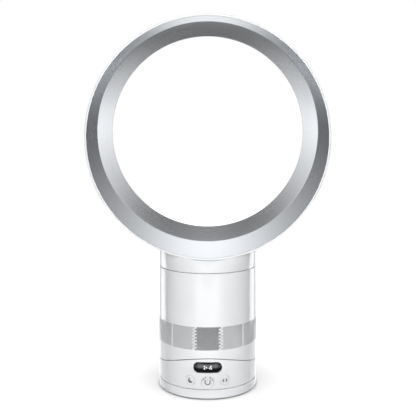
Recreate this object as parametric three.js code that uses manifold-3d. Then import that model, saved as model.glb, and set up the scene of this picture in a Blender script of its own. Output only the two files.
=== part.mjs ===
// Bladeless desk fan. Millimetres, +Z up, front towards -Y, origin under the middle of the foot.
// The foot stands still. The control housing swings on it about Z. The body tilts on the housing
// about X. The impeller turns in the body, and the air loop twist-locks onto the body's top.
import * as THREE from 'three';
import { mergeVertices } from 'three/addons/utils/BufferGeometryUtils.js';
import Module from 'manifold-3d';

const wasm = await Module();
wasm.setup();

// ---- driving dimensions -------------------------------------------------------------------
// fits
const FIT = 0.3;                 // clearance between pieces that seat on each other
const SEAM = 0.6;                // visible joint line between casings
const ROUND = 36;                // facets round the body
const INNER_ROUND = 24;          // facets round the pieces inside the body
const SMALL_ROUND = 10;          // facets round small pieces
const SCREW_ROUND = 6;           // facets round screws and their holes
// body column
const BODY_RADIUS = 73.5;
const SHELL_WALL = 2.4;
// foot
const FOOT_TOP = 14.1;
const FOOT_LIFT = 1.2;           // gap between the foot's shell and the table
const PLATE_THICK = 2.3;
const DECK_THICK = 3;
const PAD_INNER = 60;
const PAD_WIDTH = 8;
const GLIDE_RADIUS = 58;         // mean radius of the turntable glide ring
const GLIDE_WIDTH = 6;
const HUB_RADIUS = 19;
const HUB_BORE = 16;
const SOCKET_WIDTH = 12;
const SOCKET_DEPTH = 12;
const SOCKET_BORE = 2.9;
const SOCKET_PIN = 1;
const PLUG_HOLE = 4.6;           // radius of the opening for the lead's plug
// swing drive
const GEAR_MODULE = 1.1;
const SUN_TEETH = 48;
const PINION_TEETH = 12;
const GEAR_THICK = 5.5;
const SWING_MOTOR_RADIUS = 13.5;
const SWING_MOTOR_HEIGHT = 10;
const BRACKET_THICK = 2;
// tilt joint: both faces are cylinders about the tilt axis
const SADDLE_RISE = 26.3;        // from the housing's lower edge to the saddle's lowest point
const SADDLE_RADIUS = 161;       // from the tilt axis to the joint line
const TILT_RANGE = rad(10);
const SADDLE_PLATE = 3;
const TILT_FACETS = 90;          // facets all round the tilt axis
const RUNNER_X = 30;
const RUNNER_STEM = 4.4;
const RUNNER_HEAD = 10;
const RUNNER_LENGTH = 30;
const CABLE_HOLE = 10;
// controls on the front of the housing; each rise is measured from the housing's lower edge
const WINDOW_WIDTH = 41.4;
const WINDOW_HEIGHT = 15.7;
const WINDOW_RISE = 31.3;
const WINDOW_THICK = 2;
const BUTTON_RISE = 12.1;
const BUTTON_RADIUS = 6.95;
const BUTTON_AZIMUTH = rad(19.6);
const BUTTON_PROUD = 0.25;
const ROCKER_RISE = 10.6;
const ROCKER_RADIUS = 8.85;
const POWER_RADIUS = 4.6;
// air inlet grille
const GRILLE_RISE = 11.84;       // from the saddle's highest point to the lowest slots
const GRILLE_HEIGHT = 33;
const GRILLE_PANELS = 12;
const GRILLE_ROWS = 8;
const TOOTHED_RIB = rad(3.4);    // ribs beside the four panels that face front, sides and rear
const PARTING_RIB = rad(1.5);    // plain ribs between them, where the mould parts
const GRILLE_TOOTH = rad(1.1);   // how far a toothed rib steps aside from row to row
const SLOT_SHARE = 0.6;          // slot height as a share of the row pitch
const DUCT_HEIGHT = 76.5;        // from the highest slots to the joint line under the loop's neck
// impeller housing, motor and impeller
const SEAL_THICK = 3.4;
const THROAT = 43.5;             // radius of the inlet throat
const SHROUD_RADIUS = 60;        // inner radius of the housing round the diffuser
const HOUSING_WALL = 2;
const IMPELLER_BLADES = 9;
const BLADE_THICK = 1.5;
const BLADE_WRAP = rad(62);
const TIP_CLEARANCE = 1;
const HUB_FOOT = 12;             // impeller hub's nose radius
const HUB_RIM = 44;              // impeller hub's rim radius
const SHAFT_RADIUS = 2.4;
const STATOR_RADIUS = 26;
const ROTOR_RADIUS = 15;
const MOTOR_STACK = 18;
const POLES = 12;
const VANES = 9;
const VANE_WRAP = rad(-24);
// air loop
const LOOP_RADIUS = 178;
const LOOP_FRONT = 66;           // front plane, ahead of the body's axis
const LOOP_REAR = 52;            // rear of the curl, behind the body's axis
const NECK_HEIGHT = 17.6;        // from the joint line to the lowest point of the loop
const BORE_OFFSET = 8;           // the bore's centre sits this far above the loop's centre
const RIM_WIDTH = 3.5;
const CASING_WALL = 2.2;
const BEZEL_DEPTH = 14;
const CREASE_RADIUS = 160.7;
const THROAT_RADIUS = 147.6;     // narrowest part of the silver wall
const THROAT_Y = 14;
const SLOT_GAP = 1.7;            // between the silver curve and the lip, across the slot
const LIP_SHELTER = 3.7;         // how far the lip's inner face sits outside the throat
const LIP_Y = 36;                // front edge of the outer casing's lip
const LIP_WALL = 1.4;
const SILVER_END = 42;           // rear edge of the silver piece, inside the curl
const LOOP_SEGMENTS = 48;
const CURL_DEPTH = 24;
const CURL_STEPS = 5;
const SPACERS = 8;
const DUCT_RADIUS = 42;
const LUGS = 3;
const LUG_ANGLE = rad(12);
const LUG_THICK = 2.4;

// ---- sizes that follow --------------------------------------------------------------------
const SHELL_INNER = BODY_RADIUS - SHELL_WALL;
const CARRIED_RADIUS = SHELL_INNER - FIT;          // plates that sit inside a shell
const HOUSING_BOTTOM = FOOT_TOP + SEAM;
const SADDLE_LOW = HOUSING_BOTTOM + SADDLE_RISE;
const TILT_Z = SADDLE_LOW + SADDLE_RADIUS;
const CRADLE_RADIUS = SADDLE_RADIUS + SEAM / 2 + SADDLE_PLATE;     // underside of the cradle
const WINDOW_Z = HOUSING_BOTTOM + WINDOW_RISE;
const BUTTON_Z = HOUSING_BOTTOM + BUTTON_RISE;
const ROCKER_Z = HOUSING_BOTTOM + ROCKER_RISE;
const SADDLE_HIGH = heightOnTilt(SADDLE_RADIUS, BODY_RADIUS);
const GRILLE_BOTTOM = SADDLE_HIGH + GRILLE_RISE;
const GRILLE_TOP = GRILLE_BOTTOM + GRILLE_HEIGHT;
const BODY_TOP = GRILLE_TOP + DUCT_HEIGHT;
const PLATE_Z = FOOT_TOP + 1;                      // underside of the turntable plate
const PLATE_TOP = PLATE_Z + 2.6;
const GEAR_Z = PLATE_TOP + FIT;
const GEAR_TOP = GEAR_Z + GEAR_THICK;
const SUN_PITCH = GEAR_MODULE * SUN_TEETH / 2;
const PINION_PITCH = GEAR_MODULE * PINION_TEETH / 2;
const GEAR_CENTRES = SUN_PITCH + PINION_PITCH + 0.15;
const BRACKET_Z = GEAR_TOP + 1;
const LOOP_CENTRE_Z = BODY_TOP + NECK_HEIGHT + LOOP_RADIUS;
const BUCKET_RADIUS = HUB_RIM + 1.5;
const INLET_Z = GRILLE_TOP + SEAL_THICK + 3;       // underside of the impeller housing's flange
const IMPELLER_TOP = INLET_Z + 22;
const IMPELLER_BOTTOM = INLET_Z - 9;

// ---- shape helpers ------------------------------------------------------------------------
function rad(degrees) {
  return THREE.MathUtils.degToRad(degrees);
}

function signedVolume(positions, index) {
  const [a, b, c] = [new THREE.Vector3(), new THREE.Vector3(), new THREE.Vector3()];
  let volume = 0;
  for (let i = 0; i < index.length; i += 3) {
    a.fromArray(positions, index[i] * 3);
    b.fromArray(positions, index[i + 1] * 3);
    c.fromArray(positions, index[i + 2] * 3);
    volume += a.dot(b.cross(c)) / 6;
  }
  return volume;
}

// A closed mesh as a solid: shared corners, no flat triangles, faces pointing out.
function solidOf(geometry) {
  const bare = geometry.clone();
  bare.deleteAttribute('normal');
  bare.deleteAttribute('uv');
  const merged = mergeVertices(bare, 1e-4);
  const positions = merged.attributes.position.array;
  const index = [];
  const source = merged.index.array;
  for (let i = 0; i < source.length; i += 3) {
    const [a, b, c] = [source[i], source[i + 1], source[i + 2]];
    if (a !== b && b !== c && c !== a) index.push(a, b, c);
  }
  if (signedVolume(positions, index) < 0) index.reverse();
  return new wasm.Manifold(new wasm.Mesh({
    numProp: 3,
    vertProperties: new Float32Array(positions),
    triVerts: new Uint32Array(index),
  }));
}

function geometryOf(solid) {
  const { vertProperties, triVerts } = solid.getMesh();
  const geometry = new THREE.BufferGeometry();
  const corners = new THREE.BufferAttribute(new Float32Array(vertProperties), 3);
  geometry.setAttribute('position', corners);
  geometry.setIndex(new THREE.BufferAttribute(new Uint32Array(triVerts), 1));
  geometry.computeVertexNormals();
  return geometry;
}

// A profile of [radius, z] corners turned about Z. It closes on itself or ends on the axis.
function revolve(profile, segments = ROUND) {
  const points = profile.map(([radius, z]) => new THREE.Vector2(radius, z));
  const onAxis = profile[0][0] === 0 && profile.at(-1)[0] === 0;
  if (!onAxis) points.push(points[0].clone());
  const start = Math.PI / segments;
  return solidOf(new THREE.LatheGeometry(points, segments, start).rotateX(Math.PI / 2));
}

function ring(inner, outer, z0, z1, segments = ROUND) {
  return revolve([[inner, z0], [outer, z0], [outer, z1], [inner, z1]], segments);
}

function disc(radius, z0, z1, segments = ROUND) {
  return revolve([[0, z0], [radius, z0], [radius, z1], [0, z1]], segments);
}

// A round bar between two points.
function rod(radius, from, to, segments = SMALL_ROUND) {
  const [a, b] = [new THREE.Vector3(...from), new THREE.Vector3(...to)];
  const geometry = new THREE.CylinderGeometry(radius, radius, a.distanceTo(b), segments);
  const turn = new THREE.Quaternion();
  turn.setFromUnitVectors(new THREE.Vector3(0, 1, 0), b.clone().sub(a).normalize());
  geometry.applyQuaternion(turn);
  const middle = a.clone().lerp(b, 0.5);
  return solidOf(geometry.translate(middle.x, middle.y, middle.z));
}

function block(x0, x1, y0, y1, z0, z1) {
  const geometry = new THREE.BoxGeometry(x1 - x0, y1 - y0, z1 - z0);
  return solidOf(geometry.translate((x0 + x1) / 2, (y0 + y1) / 2, (z0 + z1) / 2));
}

// A flat outline in X and Z, pushed along Y from y0 to y1.
function pushY(shape, y0, y1) {
  const settings = { depth: y1 - y0, bevelEnabled: false, curveSegments: 8 };
  const geometry = new THREE.ExtrudeGeometry(shape, settings);
  return solidOf(geometry.rotateX(Math.PI / 2).translate(0, y1, 0));
}

// A flat outline in X and Y, raised from z0 to z1.
function raise(shape, z0, z1) {
  const settings = { depth: z1 - z0, bevelEnabled: false, curveSegments: 4 };
  return solidOf(new THREE.ExtrudeGeometry(shape, settings).translate(0, 0, z0));
}

function stadium(width, height) {
  const reach = (width - height) / 2;
  const shape = new THREE.Shape();
  shape.absarc(reach, 0, height / 2, -Math.PI / 2, Math.PI / 2, false);
  shape.absarc(-reach, 0, height / 2, Math.PI / 2, Math.PI * 1.5, false);
  return shape;
}

// A wedge seen from above, for sectors of rings.
function sector(radius, from, to, z0, z1) {
  const shape = new THREE.Shape();
  shape.moveTo(0, 0);
  const steps = Math.max(1, Math.ceil((to - from) / rad(20)));
  for (let i = 0; i <= steps; i += 1) {
    const angle = from + (to - from) * i / steps;
    shape.lineTo(radius * Math.cos(angle), radius * Math.sin(angle));
  }
  return raise(shape, z0, z1);
}

// A cylinder about the tilt axis, long enough to cut across the whole body.
function tiltCylinder(radius, halfLength = BODY_RADIUS * 2) {
  return rod(radius, [-halfLength, 0, TILT_Z], [halfLength, 0, TILT_Z], TILT_FACETS);
}

// Height of a cylinder about the tilt axis, at a distance in front of or behind the column's axis.
function heightOnTilt(radius, y) {
  return TILT_Z - Math.sqrt(radius ** 2 - y ** 2);
}

function union(solids) {
  return solids.reduce((all, next) => all.add(next));
}

// What make(turn) gives at each of count even turns, the first at start.
function around(count, make, start = 0) {
  return Array.from({ length: count }, (_, i) => make(start + i * Math.PI * 2 / count));
}

function placesAround(count, reach, start) {
  return around(count, (turn) => [reach * Math.cos(turn), reach * Math.sin(turn)], start);
}

// ---- foot ---------------------------------------------------------------------------------
const deckUnder = FOOT_TOP - DECK_THICK;
const plateTop = FOOT_LIFT + PLATE_THICK;
const socketZ = (plateTop + deckUnder) / 2;
const socketFront = SHELL_INNER - 0.8;
const glideFloor = FOOT_TOP - 1.5;
const footScrewPlaces = placesAround(3, PAD_INNER - 8, rad(30));

function footShell() {
  const hubTop = GEAR_TOP + 3;
  const shell = revolve([
    [HUB_BORE, deckUnder], [SHELL_INNER, deckUnder], [SHELL_INNER, FOOT_LIFT],
    [BODY_RADIUS - 2.2, FOOT_LIFT], [BODY_RADIUS - 0.8, FOOT_LIFT + 0.6], [BODY_RADIUS, FOOT_LIFT + 2.2],
    [BODY_RADIUS, FOOT_TOP], [HUB_RADIUS + 4, FOOT_TOP], [HUB_RADIUS + 4, GEAR_Z - FIT],
    [HUB_RADIUS, GEAR_Z - FIT], [HUB_RADIUS, hubTop], [HUB_BORE, hubTop],
  ]);
  const half = GLIDE_WIDTH / 2;
  const groove = ring(GLIDE_RADIUS - half, GLIDE_RADIUS + half, glideFloor, FOOT_TOP + 1);
  const plugHole = rod(PLUG_HOLE, [0, SHELL_INNER - 4, socketZ], [0, BODY_RADIUS + 4, socketZ]);
  const bossAt = ([x, y]) => rod(4, [x, y, plateTop + FIT], [x, y, deckUnder + 0.5]);
  const pilotAt = ([x, y]) => rod(1.7, [x, y, 0], [x, y, deckUnder + 1], SCREW_ROUND);
  const bosses = footScrewPlaces.map(bossAt);
  const pilots = footScrewPlaces.map(pilotAt);
  return union([shell, ...bosses]).subtract(union([groove, plugHole, ...pilots]));
}

function footPlate() {
  const plate = disc(CARRIED_RADIUS, FOOT_LIFT, plateTop);
  const groove = ring(PAD_INNER, PAD_INNER + PAD_WIDTH, 0, FOOT_LIFT + 1.2);
  const holes = footScrewPlaces.map(([x, y]) => union([
    rod(1.9, [x, y, 0], [x, y, plateTop + 1], SCREW_ROUND),
    rod(3.9, [x, y, 0], [x, y, FOOT_LIFT + 1.4], SCREW_ROUND),
  ]));
  return plate.subtract(union([groove, ...holes]));
}

function footPad() {
  const edge = 0.5;
  const [inner, outer, top] = [PAD_INNER + FIT, PAD_INNER + PAD_WIDTH - FIT, FOOT_LIFT + 0.9];
  return revolve([
    [inner + edge, 0], [outer - edge, 0], [outer, edge], [outer, top], [inner, top], [inner, edge],
  ]);
}

function glideRing() {
  const half = GLIDE_WIDTH / 2 - FIT;
  return ring(GLIDE_RADIUS - half, GLIDE_RADIUS + half, glideFloor + FIT, PLATE_Z - FIT);
}

function powerSocket() {
  const back = socketFront - SOCKET_DEPTH;
  const half = SOCKET_WIDTH / 2;
  const body = block(-half, half, back, socketFront, plateTop + FIT, deckUnder - FIT);
  const bore = rod(SOCKET_BORE, [0, back + 2, socketZ], [0, socketFront + 1, socketZ]);
  const pin = rod(SOCKET_PIN, [0, back + 1, socketZ], [0, socketFront - 1, socketZ], 8);
  return body.subtract(bore).add(pin);
}

// Teeth with straight flanks that taper from the root circle to the tip circle.
function gearShape(teeth) {
  const pitch = GEAR_MODULE * teeth / 2;
  const [root, tip] = [pitch - 1.2 * GEAR_MODULE, pitch + 0.9 * GEAR_MODULE];
  const step = Math.PI * 2 / teeth;
  const [rootHalf, tipHalf] = [step * 0.33, step * 0.13];
  const shape = new THREE.Shape();
  for (let i = 0; i < teeth; i += 1) {
    const corners = [[root, -rootHalf], [tip, -tipHalf], [tip, tipHalf], [root, rootHalf]];
    corners.forEach(([radius, turn], corner) => {
      const angle = i * step + turn;
      const place = [radius * Math.cos(angle), radius * Math.sin(angle)];
      if (i === 0 && corner === 0) shape.moveTo(...place);
      else shape.lineTo(...place);
    });
  }
  return shape;
}

function fixedGear() {
  const wheel = raise(gearShape(SUN_TEETH), GEAR_Z, GEAR_TOP);
  return wheel.subtract(rod(HUB_RADIUS + FIT, [0, 0, GEAR_Z - 1], [0, 0, GEAR_TOP + 1], ROUND));
}

function hubNut() {
  const nut = ring(HUB_RADIUS + FIT, HUB_RADIUS + 4.5, GEAR_TOP + FIT, GEAR_TOP + 2.6, INNER_ROUND);
  const notches = placesAround(4, HUB_RADIUS + 4.5, 0).map(([x, y]) =>
    rod(1.4, [x, y, GEAR_TOP], [x, y, GEAR_TOP + 4], 8));
  return nut.subtract(union(notches));
}

// A screw with its head at z = 0 and its shank pointing up.
function screw(head, headHeight, shank, length) {
  return revolve([
    [0, 0], [head, 0], [head, headHeight], [shank, headHeight], [shank, length], [0, length],
  ], SCREW_ROUND);
}

// ---- control housing, which swings on the foot ---------------------------------------------
const windowFace = BODY_RADIUS - 0.15;
const housingLip = SHELL_INNER - 2;          // inner ledge that locates the plate and the board
const boardFace = -(SHELL_INNER - 9);        // front of the control board
const bracketY = GEAR_CENTRES;
const postPlaces = [[50, 35], [-50, 35], [-50, -35], [50, -35]];

function controlHousing() {
  const wall = revolve([
    [SHELL_INNER, HOUSING_BOTTOM], [BODY_RADIUS, HOUSING_BOTTOM], [BODY_RADIUS, TILT_Z],
    [SHELL_INNER, TILT_Z], [SHELL_INNER, PLATE_TOP + 3], [housingLip, PLATE_TOP + 2.2],
    [housingLip, PLATE_TOP + FIT], [SHELL_INNER, PLATE_TOP + FIT],
  ]);
  const cuts = [
    tiltCylinder(SADDLE_RADIUS + SEAM / 2),
    windowOpening(0),
    radialRod(BUTTON_RADIUS + FIT, BUTTON_Z, -BUTTON_AZIMUTH),
    radialRod(BUTTON_RADIUS + FIT, BUTTON_Z, BUTTON_AZIMUTH),
    radialRod(ROCKER_RADIUS + FIT, ROCKER_Z, 0),
  ];
  return wall.subtract(union(cuts));
}

function windowOpening(shrink) {
  const shape = stadium(WINDOW_WIDTH - 2 * shrink, WINDOW_HEIGHT - 2 * shrink);
  return pushY(shape, -BODY_RADIUS - 5, -BODY_RADIUS / 2).translate([0, 0, WINDOW_Z]);
}

// A round bar pointing straight out of the front at a turn about Z.
function radialRod(radius, z, azimuth, from = SHELL_INNER - 6, to = BODY_RADIUS + 6) {
  const [x, y] = [Math.sin(azimuth), -Math.cos(azimuth)];
  return rod(radius, [x * from, y * from, z], [x * to, y * to, z], 18);
}

function displayWindow() {
  const [low, high] = [WINDOW_Z - WINDOW_HEIGHT, WINDOW_Z + WINDOW_HEIGHT];
  const skin = ring(windowFace - WINDOW_THICK, windowFace, low, high);
  return skin.intersect(windowOpening(FIT));
}

// The lit digits and the window's light box, between the window and the control board.
function displayModule() {
  const face = -(windowFace - WINDOW_THICK - 4);
  const top = heightOnTilt(CRADLE_RADIUS, boardFace) - 0.4;
  return block(-14, 14, face, boardFace - FIT, top - 8.5, top);
}

function controlBoard() {
  const back = boardFace + 1.6;
  const top = heightOnTilt(CRADLE_RADIUS, back) - 1.2;
  const corner = housingLip * Math.cos(Math.PI / ROUND) - FIT;
  const half = Math.sqrt(corner ** 2 - boardFace ** 2);
  const board = block(-half, half, boardFace, back, PLATE_TOP + FIT, top);
  const chips = [[-18, 8], [18, 8], [0, 12]].map(([x, drop]) =>
    block(x - 5, x + 5, back - 0.1, back + 2.4, top - drop - 4, top - drop + 4));
  const switches = [-BUTTON_AZIMUTH, 0, BUTTON_AZIMUTH].map((azimuth) => {
    const x = Math.sin(azimuth) * (BODY_RADIUS - 6);
    const height = azimuth === 0 ? 3 : 1.5;
    return block(x - 3, x + 3, boardFace - height, boardFace + 0.1, BUTTON_Z - 4.5, BUTTON_Z + 1.5);
  });
  return union([board, ...chips, ...switches]);
}

// A round key cut from a shell that follows the housing's curve, with a stem towards its switch.
function keyCap(radius, z, proud, stemEnd) {
  const skin = ring(SHELL_INNER - 0.6, BODY_RADIUS + proud, z - radius - 2, z + radius + 2, ROUND * 2);
  const cap = skin.intersect(radialRod(radius, z, 0));
  return cap.add(radialRod(1.6, z, 0, stemEnd, SHELL_INNER));
}

// The airflow ring rocks about a vertical line through its middle.
function airflowRocker() {
  const skin = ring(SHELL_INNER + 0.2, BODY_RADIUS + BUTTON_PROUD, ROCKER_Z - 12, ROCKER_Z + 12, ROUND * 2);
  const bore = radialRod(POWER_RADIUS + 0.5, ROCKER_Z, 0);
  return skin.intersect(radialRod(ROCKER_RADIUS, ROCKER_Z, 0)).subtract(bore);
}

function turntablePlate() {
  const plate = ring(HUB_RADIUS + 5, CARRIED_RADIUS, PLATE_Z, PLATE_TOP);
  const holes = postPlaces.map(([x, y]) => union([
    rod(1.9, [x, y, PLATE_Z - 1], [x, y, PLATE_TOP + 1], SCREW_ROUND),
    rod(3.9, [x, y, PLATE_Z - 1], [x, y, PLATE_Z + 1.4], SCREW_ROUND),
  ]));
  return plate.subtract(union(holes));
}

// The curved plate that carries the body, with slots for the runners and for the leads.
function tiltCradle() {
  const top = CRADLE_RADIUS - SADDLE_PLATE;
  const posts = postPlaces.map(([x, y]) => rod(4, [x, y, PLATE_TOP + FIT], [x, y, TILT_Z]));
  const sheet = tiltCylinder(CRADLE_RADIUS).subtract(tiltCylinder(top));
  const plate = sheet.intersect(disc(CARRIED_RADIUS - FIT, 0, TILT_Z));
  const slotReach = SADDLE_RADIUS * Math.sin(TILT_RANGE) + RUNNER_LENGTH / 2 + 2;
  const half = RUNNER_STEM / 2 + 0.6;
  const slots = [-RUNNER_X, RUNNER_X].map((x) =>
    block(x - half, x + half, -slotReach, slotReach, 0, TILT_Z));
  const leadSlot = block(-CABLE_HOLE, CABLE_HOLE, -CABLE_HOLE - 28, CABLE_HOLE + 28, 0, TILT_Z);
  const pilots = postPlaces.map(([x, y]) => rod(1.7, [x, y, 0], [x, y, PLATE_TOP + 14], SCREW_ROUND));
  const carried = union(posts).subtract(tiltCylinder(CRADLE_RADIUS - 1));
  return plate.add(carried).subtract(union([...slots, leadSlot, ...pilots]));
}

function motorBracket() {
  const [half, reach] = [SWING_MOTOR_RADIUS + 9, SWING_MOTOR_RADIUS - 1];
  const top = BRACKET_Z + BRACKET_THICK;
  const plate = block(-half, half, bracketY - reach + 7, bracketY + reach, BRACKET_Z, top);
  const feet = [-half + 4, half - 4].map((x) =>
    rod(3.6, [x, bracketY + 6, PLATE_TOP + FIT], [x, bracketY + 6, top], SCREW_ROUND));
  return plate.add(union(feet)).subtract(rod(3, [0, bracketY, 0], [0, bracketY, top + 1]));
}

function swingMotor() {
  const bottom = BRACKET_Z + BRACKET_THICK + FIT;
  const top = bottom + SWING_MOTOR_HEIGHT;
  const can = rod(SWING_MOTOR_RADIUS, [0, bracketY, bottom], [0, bracketY, top], INNER_ROUND);
  const half = SWING_MOTOR_RADIUS + 5;
  const ears = block(-half, half, bracketY - 3.5, bracketY + 3.5, bottom, bottom + 1.2);
  return can.add(ears).subtract(rod(2.5, [0, bracketY, bottom - 1], [0, bracketY, bottom + 4]));
}

// The pinion with its shaft, about its own axis.
function swingPinion() {
  const wheel = raise(gearShape(PINION_TEETH), GEAR_Z, GEAR_TOP);
  const shaftTop = BRACKET_Z + BRACKET_THICK + FIT + 3.5;
  return wheel.add(rod(2.1, [0, 0, GEAR_Z + 1], [0, 0, shaftTop], SCREW_ROUND));
}

// ---- body, which tilts on the housing ------------------------------------------------------
const tiltShoeTop = SADDLE_RADIUS - SEAM / 2 - SADDLE_PLATE;
const bossReach = SHELL_INNER - 11;
const bossPlaces = placesAround(3, bossReach, rad(90));
const bossUnder = GRILLE_BOTTOM - 4;
const bodyScrewSeat = heightOnTilt(SADDLE_RADIUS, bossReach) + 4;

// The ribs of one row as [middle, half width], all round from the right of the front panel.
function ribsOfRow(row) {
  const step = row % 2 === 0 ? GRILLE_TOOTH : -GRILLE_TOOTH;
  const pitch = Math.PI * 2 / GRILLE_PANELS;
  return Array.from({ length: GRILLE_PANELS + 1 }, (_, i) => {
    const middle = (i + 0.5) * pitch - Math.PI / 2;
    return i % 3 === 1 ? [middle, PARTING_RIB / 2] : [middle + step, TOOTHED_RIB / 2];
  });
}

function grilleSlots() {
  const pitch = GRILLE_HEIGHT / GRILLE_ROWS;
  const slots = [];
  for (let row = 0; row < GRILLE_ROWS; row += 1) {
    const z0 = GRILLE_BOTTOM + pitch * (row + (1 - SLOT_SHARE) / 2);
    const ribs = ribsOfRow(row);
    for (let i = 0; i < GRILLE_PANELS; i += 1) {
      const [from, to] = [ribs[i][0] + ribs[i][1], ribs[i + 1][0] - ribs[i + 1][1]];
      slots.push(sector(BODY_RADIUS + 4, from, to, z0, z0 + pitch * SLOT_SHARE));
    }
  }
  return union(slots).subtract(disc(SHELL_INNER - 2, GRILLE_BOTTOM - 5, GRILLE_TOP + 5));
}

// Short flanges round a ring: those on the body's spigot hold down the lugs in the loop's neck.
function bayonetFlanges(inner, outer, z0, z1) {
  const half = LUG_ANGLE / 2;
  const teeth = around(LUGS, (turn) => sector(outer + 5, turn - half, turn + half, z0 - 1, z1 + 1));
  return ring(inner, outer, z0, z1).intersect(union(teeth));
}

const spigotOuter = SHELL_INNER - 5;
const spigotInner = spigotOuter - 2.4;
const lugZ = BODY_TOP + SEAM + 0.6;
const spigotTop = lugZ + LUG_THICK + FIT + LUG_THICK;

function bodyShell() {
  const ledge = INLET_Z - SEAL_THICK - 2 * FIT;
  const shoulder = BODY_TOP - SHELL_WALL;
  const wall = revolve([
    [SHELL_INNER, SADDLE_LOW - 5], [BODY_RADIUS, SADDLE_LOW - 5], [BODY_RADIUS, BODY_TOP],
    [spigotOuter, BODY_TOP], [spigotOuter, spigotTop], [spigotInner, spigotTop],
    [spigotInner, shoulder], [SHELL_INNER, shoulder - (SHELL_INNER - spigotInner)], [SHELL_INNER, ledge],
    [SHROUD_RADIUS + 4.5, ledge], [SHROUD_RADIUS + 4.5, ledge - 1.6], [SHELL_INNER, ledge - 1.6],
  ]);
  const bossTop = GRILLE_BOTTOM - 0.6;
  const bosses = bossPlaces.map(([x, y]) => rod(4.2, [x, y, bossUnder], [x, y, bossTop], SCREW_ROUND));
  const webs = around(3, (turn) => {
    const web = block(bossReach, SHELL_INNER + 0.5, -2.5, 2.5, bossUnder, bossTop);
    return web.rotate([0, 0, THREE.MathUtils.radToDeg(turn)]);
  }, rad(90));
  const pilotAt = ([x, y]) => rod(1.7, [x, y, bossUnder - 1], [x, y, bossTop + 1], SCREW_ROUND);
  const flanges = bayonetFlanges(spigotOuter - 0.5, SHELL_INNER - 2.2, spigotTop - LUG_THICK, spigotTop);
  const column = wall.add(union([...bosses, ...webs, flanges]));
  const cuts = union([grilleSlots(), ...bossPlaces.map(pilotAt)]);
  return column.intersect(tiltCylinder(SADDLE_RADIUS - SEAM / 2)).subtract(cuts);
}

function tiltShoe() {
  const under = SADDLE_RADIUS - SEAM / 2;
  const sheet = tiltCylinder(under).subtract(tiltCylinder(tiltShoeTop));
  const plate = sheet.intersect(disc(CARRIED_RADIUS, 0, TILT_Z));
  const towers = bossPlaces.map(([x, y]) => rod(5, [x, y, 0], [x, y, bossUnder - FIT]));
  const solid = plate.add(union(towers).intersect(tiltCylinder(under)));
  const bores = bossPlaces.map(([x, y]) => union([
    rod(1.9, [x, y, 0], [x, y, bossUnder + 1], SCREW_ROUND),
    rod(3.9, [x, y, 0], [x, y, bodyScrewSeat], SCREW_ROUND),
  ]));
  const runnerHoles = runnerRods(1.6);
  const leadHole = rod(CABLE_HOLE, [0, 0, 0], [0, 0, SADDLE_LOW + 9], INNER_ROUND);
  return solid.subtract(union([...bores, ...runnerHoles, leadHole]));
}

// Bars where the runners' screws pass.
function runnerRods(radius) {
  return [-RUNNER_X, RUNNER_X].map((x) => rod(radius, [x, 0, 0], [x, 0, SADDLE_LOW + 9], SCREW_ROUND));
}

// A T-shaped runner that hangs through the cradle's slot and keeps the body on it.
function tiltRunner() {
  const top = SADDLE_RADIUS - SEAM / 2 + FIT;
  const neckEnd = CRADLE_RADIUS + SEAM;
  const stem = bandAboutTilt(top, neckEnd + 1, RUNNER_STEM, RUNNER_LENGTH);
  const head = bandAboutTilt(neckEnd, neckEnd + 2.2, RUNNER_HEAD, RUNNER_LENGTH);
  return stem.add(head).subtract(rod(1.4, [0, 0, SADDLE_LOW - 3.5], [0, 0, SADDLE_LOW + 5], SCREW_ROUND));
}

function bandAboutTilt(inner, outer, width, length) {
  const band = tiltCylinder(outer, width / 2).subtract(tiltCylinder(inner));
  return band.intersect(block(-width, width, -length / 2, length / 2, 0, TILT_Z));
}

function cableGrommet() {
  const under = SADDLE_LOW + FIT + 0.4;
  const lip = under + SADDLE_PLATE + 0.8;
  const top = lip + 1.6;
  const [bore, hole] = [CABLE_HOLE - 3.5, CABLE_HOLE - FIT];
  return revolve([
    [bore, under], [hole, under], [hole, lip], [hole + 2, lip], [hole + 2, top], [bore, top],
  ], SMALL_ROUND);
}

function inletFoam() {
  const outer = SHELL_INNER - 18;
  const pad = ring(CABLE_HOLE + 4, outer, 0, GRILLE_BOTTOM - 1);
  return pad.intersect(tiltCylinder(tiltShoeTop - FIT)).subtract(union(runnerRods(4)));
}

const flangeOuter = SHELL_INNER - 3;

function ductSeal() {
  const bottom = INLET_Z - SEAL_THICK - FIT;
  return ring(SHROUD_RADIUS + 5, flangeOuter - 1, bottom, bottom + SEAL_THICK, INNER_ROUND);
}

// The casing's inner face round the impeller: the throat, a cone and the start of the duct.
const coneCorners = [
  [THROAT, IMPELLER_BOTTOM], [THROAT + 3, IMPELLER_BOTTOM + 9],
  [SHROUD_RADIUS - 3, IMPELLER_TOP - 3], [SHROUD_RADIUS, IMPELLER_TOP + 6],
];

// Casing round the impeller: a bell mouth, the cone and a straight duct.
function impellerHousing() {
  const t = HOUSING_WALL;
  const outletZ = BODY_TOP - 4;
  return revolve([
    [THROAT + 9, IMPELLER_BOTTOM - 7], [THROAT + 3, IMPELLER_BOTTOM - 5.5], ...coneCorners,
    [SHROUD_RADIUS, outletZ], [SHROUD_RADIUS + t, outletZ], [SHROUD_RADIUS + t, IMPELLER_TOP + 5],
    [SHROUD_RADIUS - 0.6, IMPELLER_TOP - 2], [THROAT + 7, INLET_Z + 2], [flangeOuter, INLET_Z + 2],
    [flangeOuter, INLET_Z], [THROAT + 5.5, INLET_Z], [THROAT + t + 1, IMPELLER_BOTTOM + 2],
    [THROAT + t + 1, IMPELLER_BOTTOM - 3.5], [THROAT + 10, IMPELLER_BOTTOM - 5],
  ], INNER_ROUND);
}

function hubRadius(s) {
  return HUB_FOOT + (HUB_RIM - HUB_FOOT) * Math.sin(s * Math.PI / 2) ** 1.3;
}

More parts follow.
